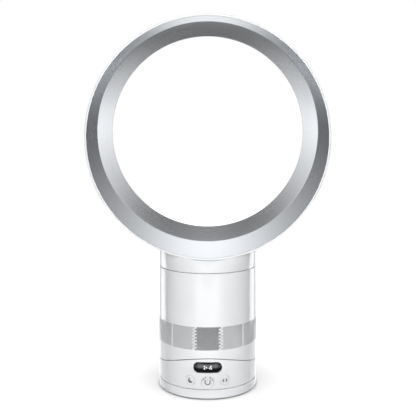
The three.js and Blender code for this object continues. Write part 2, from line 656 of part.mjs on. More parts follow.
// Blade tips keep their clearance from the flats between the casing's corners.
function tipRadius(z) {
  const flat = Math.cos(Math.PI / INNER_ROUND);
  for (let i = 1; i < coneCorners.length; i += 1) {
    const [[r0, z0], [r1, z1]] = [coneCorners[i - 1], coneCorners[i]];
    if (z <= z1) return (r0 + (r1 - r0) * (z - z0) / (z1 - z0)) * flat - TIP_CLEARANCE;
  }
  return SHROUD_RADIUS * flat - TIP_CLEARANCE;
}

// One swept blade as a thin closed grid between the hub and the casing.
function bladeSolid(turn, steps, wrap, thick, innerAt, outerAt, heightAt) {
  const positions = [];
  const index = [];
  for (let i = 0; i <= steps; i += 1) {
    const s = i / steps;
    const z = heightAt(s);
    for (const radius of [innerAt(s), outerAt(s, z)]) {
      for (const side of [-1, 1]) {
        const angle = turn + wrap * s + side * thick / 2 / radius;
        positions.push(radius * Math.cos(angle), radius * Math.sin(angle), z);
      }
    }
  }
  const quad = (a, b, c, d) => index.push(a, b, c, a, c, d);
  for (let i = 0; i < steps; i += 1) {
    const [low, high] = [i * 4, i * 4 + 4];
    for (const [a, b] of [[0, 1], [1, 3], [3, 2], [2, 0]]) quad(low + a, low + b, high + b, high + a);
  }
  quad(2, 3, 1, 0);
  const last = steps * 4;
  quad(last, last + 1, last + 3, last + 2);
  const geometry = new THREE.BufferGeometry();
  geometry.setAttribute('position', new THREE.Float32BufferAttribute(positions, 3));
  geometry.setIndex(index);
  return solidOf(geometry);
}

function impeller() {
  const height = IMPELLER_TOP - IMPELLER_BOTTOM - 2;
  const zAt = (s) => IMPELLER_BOTTOM + 1 + height * s;
  const cone = [0, 0.25, 0.5, 0.75, 1].map((s) => [hubRadius(s), zAt(s)]);
  const hub = revolve([
    [SHAFT_RADIUS + FIT, zAt(0) - 2], [HUB_FOOT - 5, zAt(0) - 2], ...cone, [HUB_RIM, IMPELLER_TOP],
    [HUB_RIM - 2, IMPELLER_TOP], [HUB_FOOT + 12, IMPELLER_TOP - 9], [SHAFT_RADIUS + 6, IMPELLER_TOP - 9],
    [SHAFT_RADIUS + 6, IMPELLER_TOP], [SHAFT_RADIUS + FIT, IMPELLER_TOP],
  ], INNER_ROUND);
  const along = (s) => 0.04 + 0.9 * s;
  const blades = around(IMPELLER_BLADES, (turn) => bladeSolid(turn, 4, BLADE_WRAP, BLADE_THICK,
    (s) => hubRadius(along(s)) - 1, (s, z) => tipRadius(z), (s) => zAt(along(s))));
  return hub.add(union(blades));
}

const plateUnder = IMPELLER_TOP + 1.5;         // motor plate, just above the impeller
const stackBottom = plateUnder + 9;
const stackTop = stackBottom + MOTOR_STACK;
const bucketTop = stackTop + 14;
const bearingBore = SHAFT_RADIUS + 6.5;

function motorBucket() {
  const t = HOUSING_WALL;
  const r = BUCKET_RADIUS;
  return revolve([
    [r - t, plateUnder + 2.3], [r, plateUnder + 2.3], [r, stackTop + 1], [r - 8, bucketTop - 4],
    [r * 0.5, bucketTop], [3, bucketTop], [3, bucketTop - t], [bearingBore, bucketTop - t],
    [bearingBore, stackTop + 3], [bearingBore + 2, stackTop + 3], [bearingBore + 2, bucketTop - t],
    [r * 0.5, bucketTop - t], [r - 9.5, bucketTop - 5.6], [r - t, stackTop],
  ], INNER_ROUND);
}

function motorPlate() {
  const [cup, web] = [STATOR_RADIUS + FIT, plateUnder + 2];
  return revolve([
    [SHAFT_RADIUS + 1, plateUnder], [BUCKET_RADIUS, plateUnder], [BUCKET_RADIUS, web],
    [STATOR_RADIUS + 2, web], [STATOR_RADIUS + 2, stackTop - 4], [cup, stackTop - 4],
    [cup, stackBottom - FIT], [STATOR_RADIUS - 3, stackBottom - FIT], [STATOR_RADIUS - 3, web],
    [bearingBore + 2, web], [bearingBore + 2, web + 5], [bearingBore, web + 5],
    [bearingBore, web - 0.4], [SHAFT_RADIUS + 1, web - 0.4],
  ], INNER_ROUND);
}

function motorBearing(z) {
  return ring(SHAFT_RADIUS + FIT, bearingBore - FIT, z, z + 4, SMALL_ROUND);
}

// Laminated ring with poles pointing at the rotor.
function motorStator() {
  const yoke = ring(STATOR_RADIUS - 4, STATOR_RADIUS, stackBottom, stackTop, INNER_ROUND);
  const pole = block(ROTOR_RADIUS + 1, STATOR_RADIUS - 2, -1.8, 1.8, stackBottom, stackTop);
  const poles = around(POLES, (turn) => pole.rotate([0, 0, THREE.MathUtils.radToDeg(turn)]));
  return yoke.add(union(poles));
}

function diffuser() {
  const inner = BUCKET_RADIUS + FIT;
  const [low, high] = [plateUnder + 3, plateUnder + 22];
  const band = ring(inner, inner + 1.6, low, high, INNER_ROUND);
  const zAt = (s) => low + 0.5 + (high - low - 1) * s;
  const root = () => inner + 0.8;
  const tip = (s, z) => tipRadius(z) + TIP_CLEARANCE - 2 * FIT;
  const vanes = around(VANES, (turn) => bladeSolid(turn, 3, VANE_WRAP, 1.6, root, tip, zAt));
  return band.add(union(vanes));
}

function motorShaft() {
  return rod(SHAFT_RADIUS, [0, 0, IMPELLER_BOTTOM], [0, 0, bucketTop - 3], 16);
}

function motorRotor() {
  return ring(SHAFT_RADIUS + FIT, ROTOR_RADIUS, stackBottom + 0.5, stackTop - 0.5, INNER_ROUND);
}

function outletSeal() {
  const [inner, outer] = [SHROUD_RADIUS - 1, spigotInner - FIT];
  const bottom = BODY_TOP - 4 + FIT;
  return ring(inner, outer, bottom, bottom + 4, INNER_ROUND);
}

// ---- air loop -----------------------------------------------------------------------------
// A loop profile's corners are [radius, y, share]; share runs from 0 on the outer circle's centre
// to 1 on the bore's centre, which lies higher. The loop is built about its outer centre.
function loopSolid(profile) {
  const positions = [];
  const index = [];
  const count = profile.length;
  for (let i = 0; i < LOOP_SEGMENTS; i += 1) {
    const angle = i * Math.PI * 2 / LOOP_SEGMENTS;
    for (const [radius, y, share] of profile) {
      positions.push(radius * Math.sin(angle), y, BORE_OFFSET * share + radius * Math.cos(angle));
    }
  }
  for (let i = 0; i < LOOP_SEGMENTS; i += 1) {
    const next = (i + 1) % LOOP_SEGMENTS;
    for (let j = 0; j < count; j += 1) {
      const [a, b] = [i * count + j, i * count + (j + 1) % count];
      const [c, d] = [next * count + (j + 1) % count, next * count + j];
      index.push(a, b, c, a, c, d);
    }
  }
  const geometry = new THREE.BufferGeometry();
  geometry.setAttribute('position', new THREE.Float32BufferAttribute(positions, 3));
  geometry.setIndex(index);
  return solidOf(geometry);
}

const lipRadius = THROAT_RADIUS + LIP_SHELTER + LIP_WALL;    // outer face of the lip

// The rear curl from the outer wall round to the lip: half an ellipse, shallower on the bore side.
function curl(inset) {
  const points = [];
  const half = (LOOP_RADIUS - lipRadius + LIP_WALL) / 2 - inset;
  const middle = (LOOP_RADIUS + lipRadius - LIP_WALL) / 2;
  for (let i = 0; i <= CURL_STEPS; i += 1) {
    const turn = Math.PI * i / CURL_STEPS;
    const depth = (turn < Math.PI / 2 ? CURL_DEPTH : CURL_DEPTH / 2) - inset;
    const y = LOOP_REAR - inset - depth * (1 - Math.sin(turn));
    points.push([middle + half * Math.cos(turn), y, (1 - Math.cos(turn)) / 2]);
  }
  return points;
}

function outerCasingProfile() {
  const wall = LOOP_RADIUS - CASING_WALL;
  const rimInner = LOOP_RADIUS - RIM_WIDTH + FIT;
  const front = -LOOP_FRONT;
  return [
    [rimInner, front, 0], [LOOP_RADIUS - 1.6, front, 0], [LOOP_RADIUS - 0.5, front + 0.6, 0],
    [LOOP_RADIUS, front + 2.2, 0], ...curl(0),
    [lipRadius - LIP_WALL, LIP_Y, 1], [lipRadius, LIP_Y, 1], ...curl(CASING_WALL).reverse(),
    [wall, front + 8, 0], [rimInner, front + 6, 0],
  ];
}

// The curve the air clings to: from the throat it bends ever more outwards, past the slot.
function silverCurve(inset) {
  const depths = [THROAT_Y, 20, 26, 31, LIP_Y, SILVER_END];
  const [bend, run] = [1.7, LIP_Y - THROAT_Y];
  const rise = lipRadius + SLOT_GAP - THROAT_RADIUS;
  return depths.map((y) => {
    const share = (y - THROAT_Y) / run;
    const slope = bend * rise / run * share ** (bend - 1);
    const length = Math.hypot(1, slope);
    return [THROAT_RADIUS + rise * share ** bend + inset / length, y - inset * slope / length, 1];
  });
}

// The silver piece: bezel, crease, sloping wall, throat and curve.
function innerCasingProfile() {
  const edge = LOOP_RADIUS - RIM_WIDTH;
  const [front, crease] = [-LOOP_FRONT, -LOOP_FRONT + BEZEL_DEPTH];
  return [
    [edge, front, 0], [CREASE_RADIUS, crease, 1], ...silverCurve(0), ...silverCurve(CASING_WALL).reverse(),
    [CREASE_RADIUS + CASING_WALL + 0.6, crease + 1, 1], [edge, front + 2.4, 0],
  ];
}

function loopInnerCasing() {
  const casing = loopSolid(innerCasingProfile());
  const y0 = LIP_Y + 0.6;
  const foot = lipRadius + 0.6 + FIT;
  const spacer = block(-1, 1, y0, y0 + 2.4, foot, lipRadius + SLOT_GAP + CASING_WALL);
  const spacerAt = (turn) => spacer.rotate([0, THREE.MathUtils.radToDeg(turn), 0]);
  const spacers = around(SPACERS, spacerAt, Math.PI / SPACERS);
  return casing.add(union(spacers).translate([0, 0, BORE_OFFSET]));
}

// Everything in the loop's own frame: its outer centre at the origin, the joint line below it.
function loopOuterCasing() {
  const bottom = BODY_TOP + SEAM - LOOP_CENTRE_Z;
  const inner = BODY_RADIUS - SHELL_WALL;
  const alongY = (radius, y0, y1) => rod(radius, [0, y0, 0], [0, y1, 0], 128);
  const envelope = loopSolid([
    [LOOP_RADIUS - 4, -LOOP_FRONT + 1, 0], [LOOP_RADIUS - 0.5, -LOOP_FRONT + 1, 0], ...curl(0.4),
    [CREASE_RADIUS, -LOOP_FRONT + 10, 1],
  ]);
  const far = BODY_RADIUS + 5;
  const front = alongY(LOOP_RADIUS - 0.2, -far, 0);
  const rear = alongY(LOOP_RADIUS - 7, -1, far);
  const column = disc(BODY_RADIUS, bottom, -LOOP_RADIUS * 0.8);
  const hollow = disc(inner, bottom - 1, -LOOP_RADIUS * 0.8).subtract(alongY(LOOP_RADIUS + 4, -far, far));
  const duct = rod(DUCT_RADIUS, [0, -6, bottom + 5], [0, -6, -lipRadius - 12], 32)
    .subtract(alongY(CREASE_RADIUS + 5, -far, far));
  const neck = column.subtract(union([envelope, front, rear])).subtract(hollow);
  const lugs = bayonetFlanges(spigotOuter + 0.6, inner + 0.5, bottom + 0.6, bottom + 0.6 + LUG_THICK);
  return loopSolid(outerCasingProfile()).add(neck).subtract(duct).add(lugs);
}

// ---- finishes -----------------------------------------------------------------------------
function finish(colour, roughness, metalness = 0) {
  return () => new THREE.MeshStandardMaterial({ color: colour, roughness, metalness });
}

const whiteGloss = finish(0xf3f4f5, 0.22);
const silverSatin = finish(0x9b9ea1, 0.34, 0.6);
const blackGloss = finish(0x0b0b0d, 0.08);
const greyPlastic = finish(0x77797c, 0.55);
const blackPlastic = finish(0x242527, 0.5);
const acetal = finish(0xe7e4d8, 0.4);
const steel = finish(0xb9bcc0, 0.3, 1);
const copperRed = finish(0x9a5a33, 0.4, 0.8);
const boardGreen = finish(0x1f5a38, 0.45);
const rubber = finish(0x2b2c2e, 0.85);
const foam = finish(0x3a3b3e, 0.98);

// ---- assembly -----------------------------------------------------------------------------
const fan = new THREE.Group();

function group(parent) {
  const child = new THREE.Group();
  parent.add(child);
  return child;
}

function place(parent, name, solid, makeFinish, position = [0, 0, 0], turnZ = 0) {
  const mesh = new THREE.Mesh(geometryOf(solid), makeFinish());
  mesh.name = name;
  mesh.position.set(...position);
  mesh.rotation.z = turnZ;
  parent.add(mesh);
}

const foot = group(fan);
place(foot, 'foot_shell', footShell(), whiteGloss);
place(foot, 'foot_plate', footPlate(), greyPlastic);
place(foot, 'foot_pad', footPad(), rubber);
place(foot, 'glide_ring', glideRing(), acetal);
place(foot, 'power_socket', powerSocket(), blackPlastic);
place(foot, 'fixed_gear', fixedGear(), acetal);
place(foot, 'hub_nut', hubNut(), greyPlastic);
const footScrew = screw(3.2, 1, 1.3, 9.5);
footScrewPlaces.forEach(([x, y], i) => {
  place(foot, `foot_screw_${i + 1}`, footScrew, steel, [x, y, FOOT_LIFT + 0.1]);
});

const housing = group(fan);
place(housing, 'control_housing', controlHousing(), whiteGloss);
place(housing, 'display_window', displayWindow(), blackGloss);
place(housing, 'display_module', displayModule(), blackPlastic);
place(housing, 'control_board', controlBoard(), boardGreen);
place(housing, 'turntable_plate', turntablePlate(), greyPlastic);
place(housing, 'tilt_cradle', tiltCradle(), greyPlastic);
place(housing, 'swing_motor_bracket', motorBracket(), steel);
place(housing, 'swing_motor', swingMotor(), steel);
const cradleScrew = screw(3.2, 1.1, 1.3, 14);
postPlaces.forEach(([x, y], i) => {
  place(housing, `cradle_screw_${i + 1}`, cradleScrew, steel, [x, y, PLATE_Z + 0.1]);
});
place(housing, 'swing_pinion', swingPinion(), acetal, [0, GEAR_CENTRES, 0], Math.PI / PINION_TEETH);
const sideKey = keyCap(BUTTON_RADIUS, BUTTON_Z, BUTTON_PROUD, SHELL_INNER - 2.1);
place(housing, 'sleep_timer_button', sideKey, whiteGloss, [0, 0, 0], -BUTTON_AZIMUTH);
place(housing, 'swing_button', sideKey, whiteGloss, [0, 0, 0], BUTTON_AZIMUTH);
place(housing, 'power_button', keyCap(POWER_RADIUS, ROCKER_Z, BUTTON_PROUD, SHELL_INNER - 4.6), whiteGloss);
place(housing, 'airflow_rocker', airflowRocker(), whiteGloss);

const body = group(fan);
place(body, 'body_shell', bodyShell(), whiteGloss);
place(body, 'tilt_shoe', tiltShoe(), greyPlastic);
const shoeTopZ = TILT_Z - tiltShoeTop;
const runnerScrewLength = shoeTopZ - SADDLE_LOW + 4;
const runnerScrew = screw(2.8, 1.6, 1.2, runnerScrewLength).rotate([180, 0, 0]).translate([0, 0, 1.6]);
for (const [side, x] of [['left', -RUNNER_X], ['right', RUNNER_X]]) {
  place(body, `tilt_runner_${side}`, tiltRunner(), acetal, [x, 0, 0]);
  place(body, `runner_screw_${side}`, runnerScrew, steel, [x, 0, shoeTopZ + FIT]);
}
place(body, 'cable_grommet', cableGrommet(), rubber);
place(body, 'inlet_foam', inletFoam(), foam);
place(body, 'duct_seal', ductSeal(), rubber);
place(body, 'impeller_housing', impellerHousing(), greyPlastic);
place(body, 'diffuser_vanes', diffuser(), greyPlastic);
place(body, 'motor_plate', motorPlate(), greyPlastic);
place(body, 'motor_bucket', motorBucket(), greyPlastic);
place(body, 'motor_stator', motorStator(), copperRed);
place(body, 'motor_bearing_lower', motorBearing(plateUnder + 1.6 + FIT), steel);
place(body, 'motor_bearing_upper', motorBearing(bucketTop - HOUSING_WALL - FIT - 4), steel);
place(body, 'outlet_seal', outletSeal(), rubber);
const bodyScrew = screw(3, 1.8, 1.3, GRILLE_BOTTOM - bodyScrewSeat + 1);
bossPlaces.forEach(([x, y], i) => {
  place(body, `body_screw_${i + 1}`, bodyScrew, steel, [x, y, bodyScrewSeat - FIT - 1.8]);
});

const spinning = group(body);
place(spinning, 'impeller', impeller(), blackPlastic);
place(spinning, 'motor_shaft', motorShaft(), steel);
place(spinning, 'motor_rotor', motorRotor(), steel);

const loop = group(body);
place(loop, 'loop_outer_casing', loopOuterCasing(), whiteGloss, [0, 0, LOOP_CENTRE_Z]);
place(loop, 'loop_inner_casing', loopInnerCasing(), silverSatin, [0, 0, LOOP_CENTRE_Z]);

export default fan;
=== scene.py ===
import math
import bpy
import bmesh
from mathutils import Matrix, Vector


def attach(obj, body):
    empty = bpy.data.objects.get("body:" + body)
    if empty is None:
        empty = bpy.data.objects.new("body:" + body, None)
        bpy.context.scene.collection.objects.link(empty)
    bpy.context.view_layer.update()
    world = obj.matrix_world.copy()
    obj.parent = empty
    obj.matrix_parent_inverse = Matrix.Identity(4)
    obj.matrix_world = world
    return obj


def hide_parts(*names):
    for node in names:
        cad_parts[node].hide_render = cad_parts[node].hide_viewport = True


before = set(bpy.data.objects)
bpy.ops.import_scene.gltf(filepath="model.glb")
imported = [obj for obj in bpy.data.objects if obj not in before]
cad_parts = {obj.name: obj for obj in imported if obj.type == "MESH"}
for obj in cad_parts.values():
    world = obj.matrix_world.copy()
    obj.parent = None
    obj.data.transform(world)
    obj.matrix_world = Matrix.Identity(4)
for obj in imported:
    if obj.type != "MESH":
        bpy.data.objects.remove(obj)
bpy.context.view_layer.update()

# ---- foot shell ---------------------------------------------------------------------------
# The still base under the fan: a shallow cup of white ABS with a deck, a hub for the
# turntable and three screw bosses. It is injection moulded with a polished outside and
# stands on a rubber ring; the lead plugs in through a round hole at the rear.
MM = 0.001
COLUMN_R = 73.5
WALL_IN = 71.1
FOOT_UNDER, FOOT_EDGE = 1.6, 13.9
DECK_UNDER, DECK_TOP = 11.1, 14.1
GROOVE_IN, GROOVE_OUT, GROOVE_FLOOR = 55.0, 61.0, 12.6
COLLAR_R, COLLAR_TOP = 23.0, 17.7
HUB_IN, HUB_OUT, HUB_TOP = 16.0, 19.0, 26.5
BOSS_CIRCLE, BOSS_R, BOSS_UNDER = 52.0, 4.0, 3.8
SCREW_HOLE_R = 1.7
SOCKET_HOLE_R, SOCKET_Z = 4.6, 7.3


def rounded(corners, radius, steps=3):
    """The corners of a closed outline, each rounded off; a third number is a corner's own radius."""
    points = []
    for i, corner in enumerate(corners):
        here, before = Vector(corner[:2]), Vector(corners[i - 1][:2])
        after = Vector(corners[(i + 1) % len(corners)][:2])
        size = corner[2] if len(corner) > 2 else radius
        back, on = before - here, after - here
        half = back.angle(on) / 2
        if size == 0 or half > math.radians(88):
            points.append(here)
            continue
        reach = min(size / math.tan(half), back.length * 0.45, on.length * 0.45)
        start, end = here + back.normalized() * reach, here + on.normalized() * reach
        for k in range(steps + 1):
            t = k / steps
            points.append(start * (1 - t) ** 2 + here * 2 * t * (1 - t) + end * t * t)
    return points


def piece_from(name, bm, sharp=32):
    """A closed mesh as a piece: shared corners, faces outwards, smooth apart from its edges."""
    bmesh.ops.remove_doubles(bm, verts=bm.verts, dist=2e-6)
    bmesh.ops.dissolve_degenerate(bm, edges=bm.edges, dist=1e-7)
    bmesh.ops.recalc_face_normals(bm, faces=bm.faces)
    mesh = bpy.data.meshes.new(name)
    bm.to_mesh(mesh)
    bm.free()
    shade(mesh, sharp)
    piece = bpy.data.objects.new(name, mesh)
    bpy.context.scene.collection.objects.link(piece)
    return piece


def shade(mesh, sharp=32):
    """Smooth faces, with a sharp edge wherever they meet at more than an angle in degrees."""
    mesh.shade_smooth()
    mesh.set_sharp_from_angle(angle=math.radians(sharp))


def on_column(radius, turn, z):
    """A place by its radius, its turn from the front and its height, in mm."""
    return radius * math.sin(turn) * MM, -radius * math.cos(turn) * MM, z * MM


def skin(bm, rows, closed=False):
    """Faces from each row of corners to the next, every row a loop; closed comes back to the first."""
    for row, beside in zip(rows, rows[1:] + (rows[:1] if closed else [])):
        for j in range(len(row)):
            k = (j + 1) % len(row)
            bm.faces.new((row[j], row[k], beside[k], beside[j]))


def turned(name, outline_at, segments=256):
    """A closed wall round the fan's axis. outline_at(turn) gives its [radius, z] outline, in mm."""
    bm = bmesh.new()
    columns = []
    for i in range(segments):
        turn = (i + 0.5) * 2 * math.pi / segments
        columns.append([bm.verts.new(on_column(r, turn, z)) for r, z in outline_at(turn)])
    skin(bm, columns, closed=True)
    return piece_from(name, bm)


def bar(start, end, radius, segments=48):
    """A round bar between two points, in mm."""
    bm = bmesh.new()
    a, b = Vector(start) * MM, Vector(end) * MM
    bmesh.ops.create_cone(bm, cap_ends=True, segments=segments, radius1=radius * MM,
                          radius2=radius * MM, depth=(b - a).length)
    turn = Vector((0, 0, 1)).rotation_difference(b - a).to_matrix().to_4x4()
    bm.transform(turn)
    bmesh.ops.translate(bm, verts=bm.verts, vec=(a + b) / 2)
    return piece_from("bar", bm)


def machine(piece, others, operation="DIFFERENCE", sharp=32):
    """Cuts the others out of the piece, or joins them to it, and removes them."""
    for other in others:
        step = piece.modifiers.new("step", "BOOLEAN")
        step.operation, step.solver, step.object = operation, "MANIFOLD", other
    make_plain(piece, sharp)
    for other in others:
        bpy.data.objects.remove(other)
    return piece


def make_plain(piece, sharp=32):
    """The piece with its modifiers worked into a plain mesh."""
    bpy.context.view_layer.update()
    graph = bpy.context.evaluated_depsgraph_get()
    mesh = bpy.data.meshes.new_from_object(piece.evaluated_get(graph))
    piece.modifiers.clear()
    piece.data = mesh
    mesh.name = piece.name
    shade(mesh, sharp)


def new_material(name):
    """A material and its node tree."""
    material = bpy.data.materials.new(name)
    material.use_nodes = True
    return material, material.node_tree


def set_inputs(tree, node, inputs):
    """Gives each named input its constant, or links another node's output to it."""
    for name, value in inputs.items():
        if isinstance(value, bpy.types.NodeSocket):
            tree.links.new(value, node.inputs[name])
        else:
            node.inputs[name].default_value = value


def add_node(tree, kind, inputs, **settings):
    """A new node with its settings and its inputs."""
    node = tree.nodes.new(kind)
    for name, value in settings.items():
        setattr(node, name, value)
    set_inputs(tree, node, inputs)
    return node


def moulding(name, colour, shade_colour, roughness, peel, grain=420.0, coat=0.0):
    """Moulded plastic: a breath of colour change, uneven gloss and a fine skin texture."""
    material, tree = new_material(name)
    place = add_node(tree, "ShaderNodeTexCoord", {}).outputs["Object"]
    drift = add_node(tree, "ShaderNodeTexNoise", {
        "Vector": place, "Scale": 9.0, "Detail": 2.0}).outputs["Fac"]
    tint = add_node(tree, "ShaderNodeMix", {
        "A": (*colour, 1), "B": (*shade_colour, 1), "Factor": drift}, data_type="RGBA")
    gloss = add_node(tree, "ShaderNodeMapRange", {
        "Value": drift, "From Min": 0.3, "From Max": 0.7,
        "To Min": roughness * 0.88, "To Max": roughness * 1.12})
    grains = add_node(tree, "ShaderNodeTexNoise", {"Vector": place, "Scale": grain, "Detail": 3.0})
    bump = add_node(tree, "ShaderNodeBump", {
        "Height": grains.outputs["Fac"], "Strength": peel, "Distance": 0.00005})
    set_inputs(tree, tree.nodes["Principled BSDF"], {
        "Base Color": tint.outputs["Result"], "Roughness": gloss.outputs["Result"],
        "Normal": bump.outputs["Normal"], "Coat Weight": coat, "Coat Roughness": 0.05})
    return material


def dress(thing, material):
    """Gives a piece or a CAD node its one material."""
    thing.data.materials.clear()
    thing.data.materials.append(material)


def fit(piece, body, slot, material, *nodes):
    """Finishes a piece, fixes it to the body that carries it, and lets it stand for its CAD nodes."""
    dress(piece, material)
    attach(piece, body)
    if nodes:
        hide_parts(*nodes)
    return piece


white_abs = moulding("white_abs", (0.875, 0.885, 0.90), (0.845, 0.858, 0.875), 0.12, 0.05)

foot_outline = rounded([
    (HUB_IN, DECK_UNDER), (WALL_IN, DECK_UNDER), (WALL_IN, FOOT_UNDER), (COLUMN_R, FOOT_UNDER, 2.2),
    (COLUMN_R, FOOT_EDGE, 0.3), (GROOVE_OUT, FOOT_EDGE), (GROOVE_OUT, GROOVE_FLOOR),
    (GROOVE_IN, GROOVE_FLOOR), (GROOVE_IN, DECK_TOP), (COLLAR_R, DECK_TOP), (COLLAR_R, COLLAR_TOP),
    (HUB_OUT, COLLAR_TOP), (HUB_OUT, HUB_TOP), (HUB_IN, HUB_TOP),
], 0.2, 5)
foot_screws = [(BOSS_CIRCLE * math.cos(math.radians(turn)), BOSS_CIRCLE * math.sin(math.radians(turn)))
               for turn in (30, 150, 270)]
foot_shell = turned("foot_shell_cup", lambda turn: foot_outline)
machine(foot_shell, [bar((x, y, BOSS_UNDER), (x, y, DECK_UNDER + 0.7), BOSS_R) for x, y in foot_screws],
        "UNION")
machine(foot_shell, [bar((x, y, 0), (x, y, DECK_UNDER + 1), SCREW_HOLE_R, 24) for x, y in foot_screws]
        + [bar((0, 66, SOCKET_Z), (0, 78, SOCKET_Z), SOCKET_HOLE_R, 64)])
fit(foot_shell, "foot", "white_casing", white_abs, "foot_shell")

# ---- foot plate and rubber ring -----------------------------------------------------------
# A grey plate closes the underside. It is ABS, held by three screws, and carries a rubber
# ring in a groove that grips the table.
grey_abs = moulding("grey_abs", (0.30, 0.31, 0.32), (0.26, 0.27, 0.28), 0.5, 0.25)
pad_rubber = moulding("pad_rubber", (0.022, 0.022, 0.024), (0.034, 0.034, 0.036), 0.78, 0.5, 900.0)
dress(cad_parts["foot_plate"], grey_abs)
dress(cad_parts["foot_pad"], pad_rubber)


# ---- screws -------------------------------------------------------------------------------
# Pan-head steel screws hold the foot plate, the cradle, the runners and the body's shoe.
# They are cold headed from wire and zinc plated.
def metal(name, colour, roughness, grain, stretch, bump_strength):
    """Bare metal with fine drawn or rolled lines, uneven in its gloss."""
    material, tree = new_material(name)
    place = add_node(tree, "ShaderNodeTexCoord", {}).outputs["Object"]
    lines = add_node(tree, "ShaderNodeMapping", {"Vector": place, "Scale": stretch})
    noise = add_node(tree, "ShaderNodeTexNoise", {
        "Vector": lines.outputs["Vector"], "Scale": grain, "Detail": 4.0}).outputs["Fac"]
    tint = add_node(tree, "ShaderNodeMix", {
        "A": (*colour, 1), "B": (*(0.8 * c for c in colour), 1), "Factor": noise}, data_type="RGBA")
    gloss = add_node(tree, "ShaderNodeMapRange", {
        "Value": noise, "To Min": roughness * 0.8, "To Max": roughness * 1.2})
    bump = add_node(tree, "ShaderNodeBump", {
        "Height": noise, "Strength": bump_strength, "Distance": 0.00005})
    set_inputs(tree, tree.nodes["Principled BSDF"], {
        "Base Color": tint.outputs["Result"], "Roughness": gloss.outputs["Result"],
        "Normal": bump.outputs["Normal"], "Metallic": 1.0})
    return material


zinc_steel = metal("zinc_steel", (0.58, 0.59, 0.61), 0.32, 800.0, (1, 1, 1), 0.15)
for place, count in (("foot", 3), ("cradle", 4), ("body", 3)):
    for number in range(1, count + 1):
        dress(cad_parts[f"{place}_screw_{number}"], zinc_steel)
for side in ("left", "right"):
    dress(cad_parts[f"runner_screw_{side}"], zinc_steel)

# ---- power socket -------------------------------------------------------------------------
# A black socket block behind the hole in the foot's rear wall takes the lead's plug. It is
# moulded round its pin and held between the foot plate and the deck.
black_abs = moulding("black_abs", (0.018, 0.018, 0.020), (0.028, 0.028, 0.031), 0.42, 0.3)
dress(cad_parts["power_socket"], black_abs)

# ---- turntable bearing and swing gears ----------------------------------------------------
# A glide ring and a toothed wheel fixed on the hub, with the motor's pinion running round
# it. All are natural acetal; a notched grey nut holds the housing down on the hub.
acetal = moulding("acetal", (0.74, 0.72, 0.66), (0.68, 0.66, 0.60), 0.38, 0.15)
for wheel in ("glide_ring", "fixed_gear", "swing_pinion"):
    dress(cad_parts[wheel], acetal)
dress(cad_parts["hub_nut"], grey_abs)

# ---- turntable plate, cradle and swing motor ----------------------------------------------
# The plate inside the control housing turns on the foot. Its posts carry the curved cradle
# on which the body tilts, and a small geared motor on a pressed steel bracket swings it.
dress(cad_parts["turntable_plate"], grey_abs)
dress(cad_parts["tilt_cradle"], grey_abs)
pressed_steel = metal("pressed_steel", (0.52, 0.53, 0.55), 0.36, 300.0, (1, 12, 1), 0.2)
dress(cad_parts["swing_motor_bracket"], pressed_steel)
dress(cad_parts["swing_motor"], zinc_steel)

# ---- control board ------------------------------------------------------------------------
# A glass-fibre board with green solder mask carries the switches behind the keys and the
# chips; the black light box with the digits plugs onto its top.
board_green = moulding("board_green", (0.012, 0.115, 0.050), (0.020, 0.150, 0.068), 0.32, 0.4, 1500.0)
dress(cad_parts["control_board"], board_green)
dress(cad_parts["display_module"], black_abs)

# ---- control housing ----------------------------------------------------------------------
# The lower ring of the column, which swings on the foot and holds the keys. White ABS, with
# a top edge cut to the curve on which the body tilts, and openings for the keys and display.
TILT_Z = 202.0
SADDLE = 161.0
TILT_GAP = 0.4
HOUSING_UNDER = 14.9
LEDGE_IN, LEDGE_UNDER, LEDGE_TOP = 69.1, 18.0, 19.9
WINDOW_WIDTH, WINDOW_HEIGHT, WINDOW_Z = 41.4, 15.7, 46.0
KEY_R, KEY_Z, KEY_TURN = 6.95, 26.8, math.radians(19.6)
RING_R, RING_Z = 8.85, 25.3
KEY_GAP = 0.3


def saddle_z(radius, turn, reach):
    """Height of a cylinder about the tilt axis, at a place on the column."""
    y = radius * math.cos(turn)
    return TILT_Z - math.sqrt(reach ** 2 - y ** 2)


def housing_outline(turn):
    def top(radius):
        return saddle_z(radius, turn, SADDLE + TILT_GAP)
    return rounded([
        (WALL_IN, HOUSING_UNDER), (COLUMN_R, HOUSING_UNDER, 0.3), (COLUMN_R, top(COLUMN_R), 0.3),
        (WALL_IN, top(WALL_IN)), (WALL_IN, LEDGE_TOP + 0.8), (LEDGE_IN, LEDGE_TOP),
        (LEDGE_IN, LEDGE_UNDER), (WALL_IN, LEDGE_UNDER),
    ], 0.2, 4)


def arc_points(radius, start, end, u=0.0, v=0.0, steps=24):
    """Corners along an arc about (u, v), between two angles in degrees from the right."""
    turns = [math.radians(start + (end - start) * k / steps) for k in range(steps + 1)]
    return [(u + radius * math.cos(a), v + radius * math.sin(a)) for a in turns]


def stadium(width, height):
    """Corners of an outline with round ends, about its own middle."""
    reach, half = (width - height) / 2, height / 2
    return arc_points(half, -90, 90, reach) + arc_points(half, 90, 270, -reach)


def prism(outline, z, y0, y1):
    """A flat outline in X and Z pushed along Y, in mm."""
    bm = bmesh.new()
    ends = [[bm.verts.new((x * MM, y * MM, (z + v) * MM)) for x, v in outline] for y in (y0, y1)]
    for end in ends:
        bm.faces.new(end)
    skin(bm, ends)
    return piece_from("prism", bm)


def spoke(radius, z, turn, start, end, segments=72):
    """A round bar that points straight out of the column at a turn from the front."""
    out = Vector((math.sin(turn), -math.cos(turn), 0))
    return bar(out * start + Vector((0, 0, z)), out * end + Vector((0, 0, z)), radius, segments)


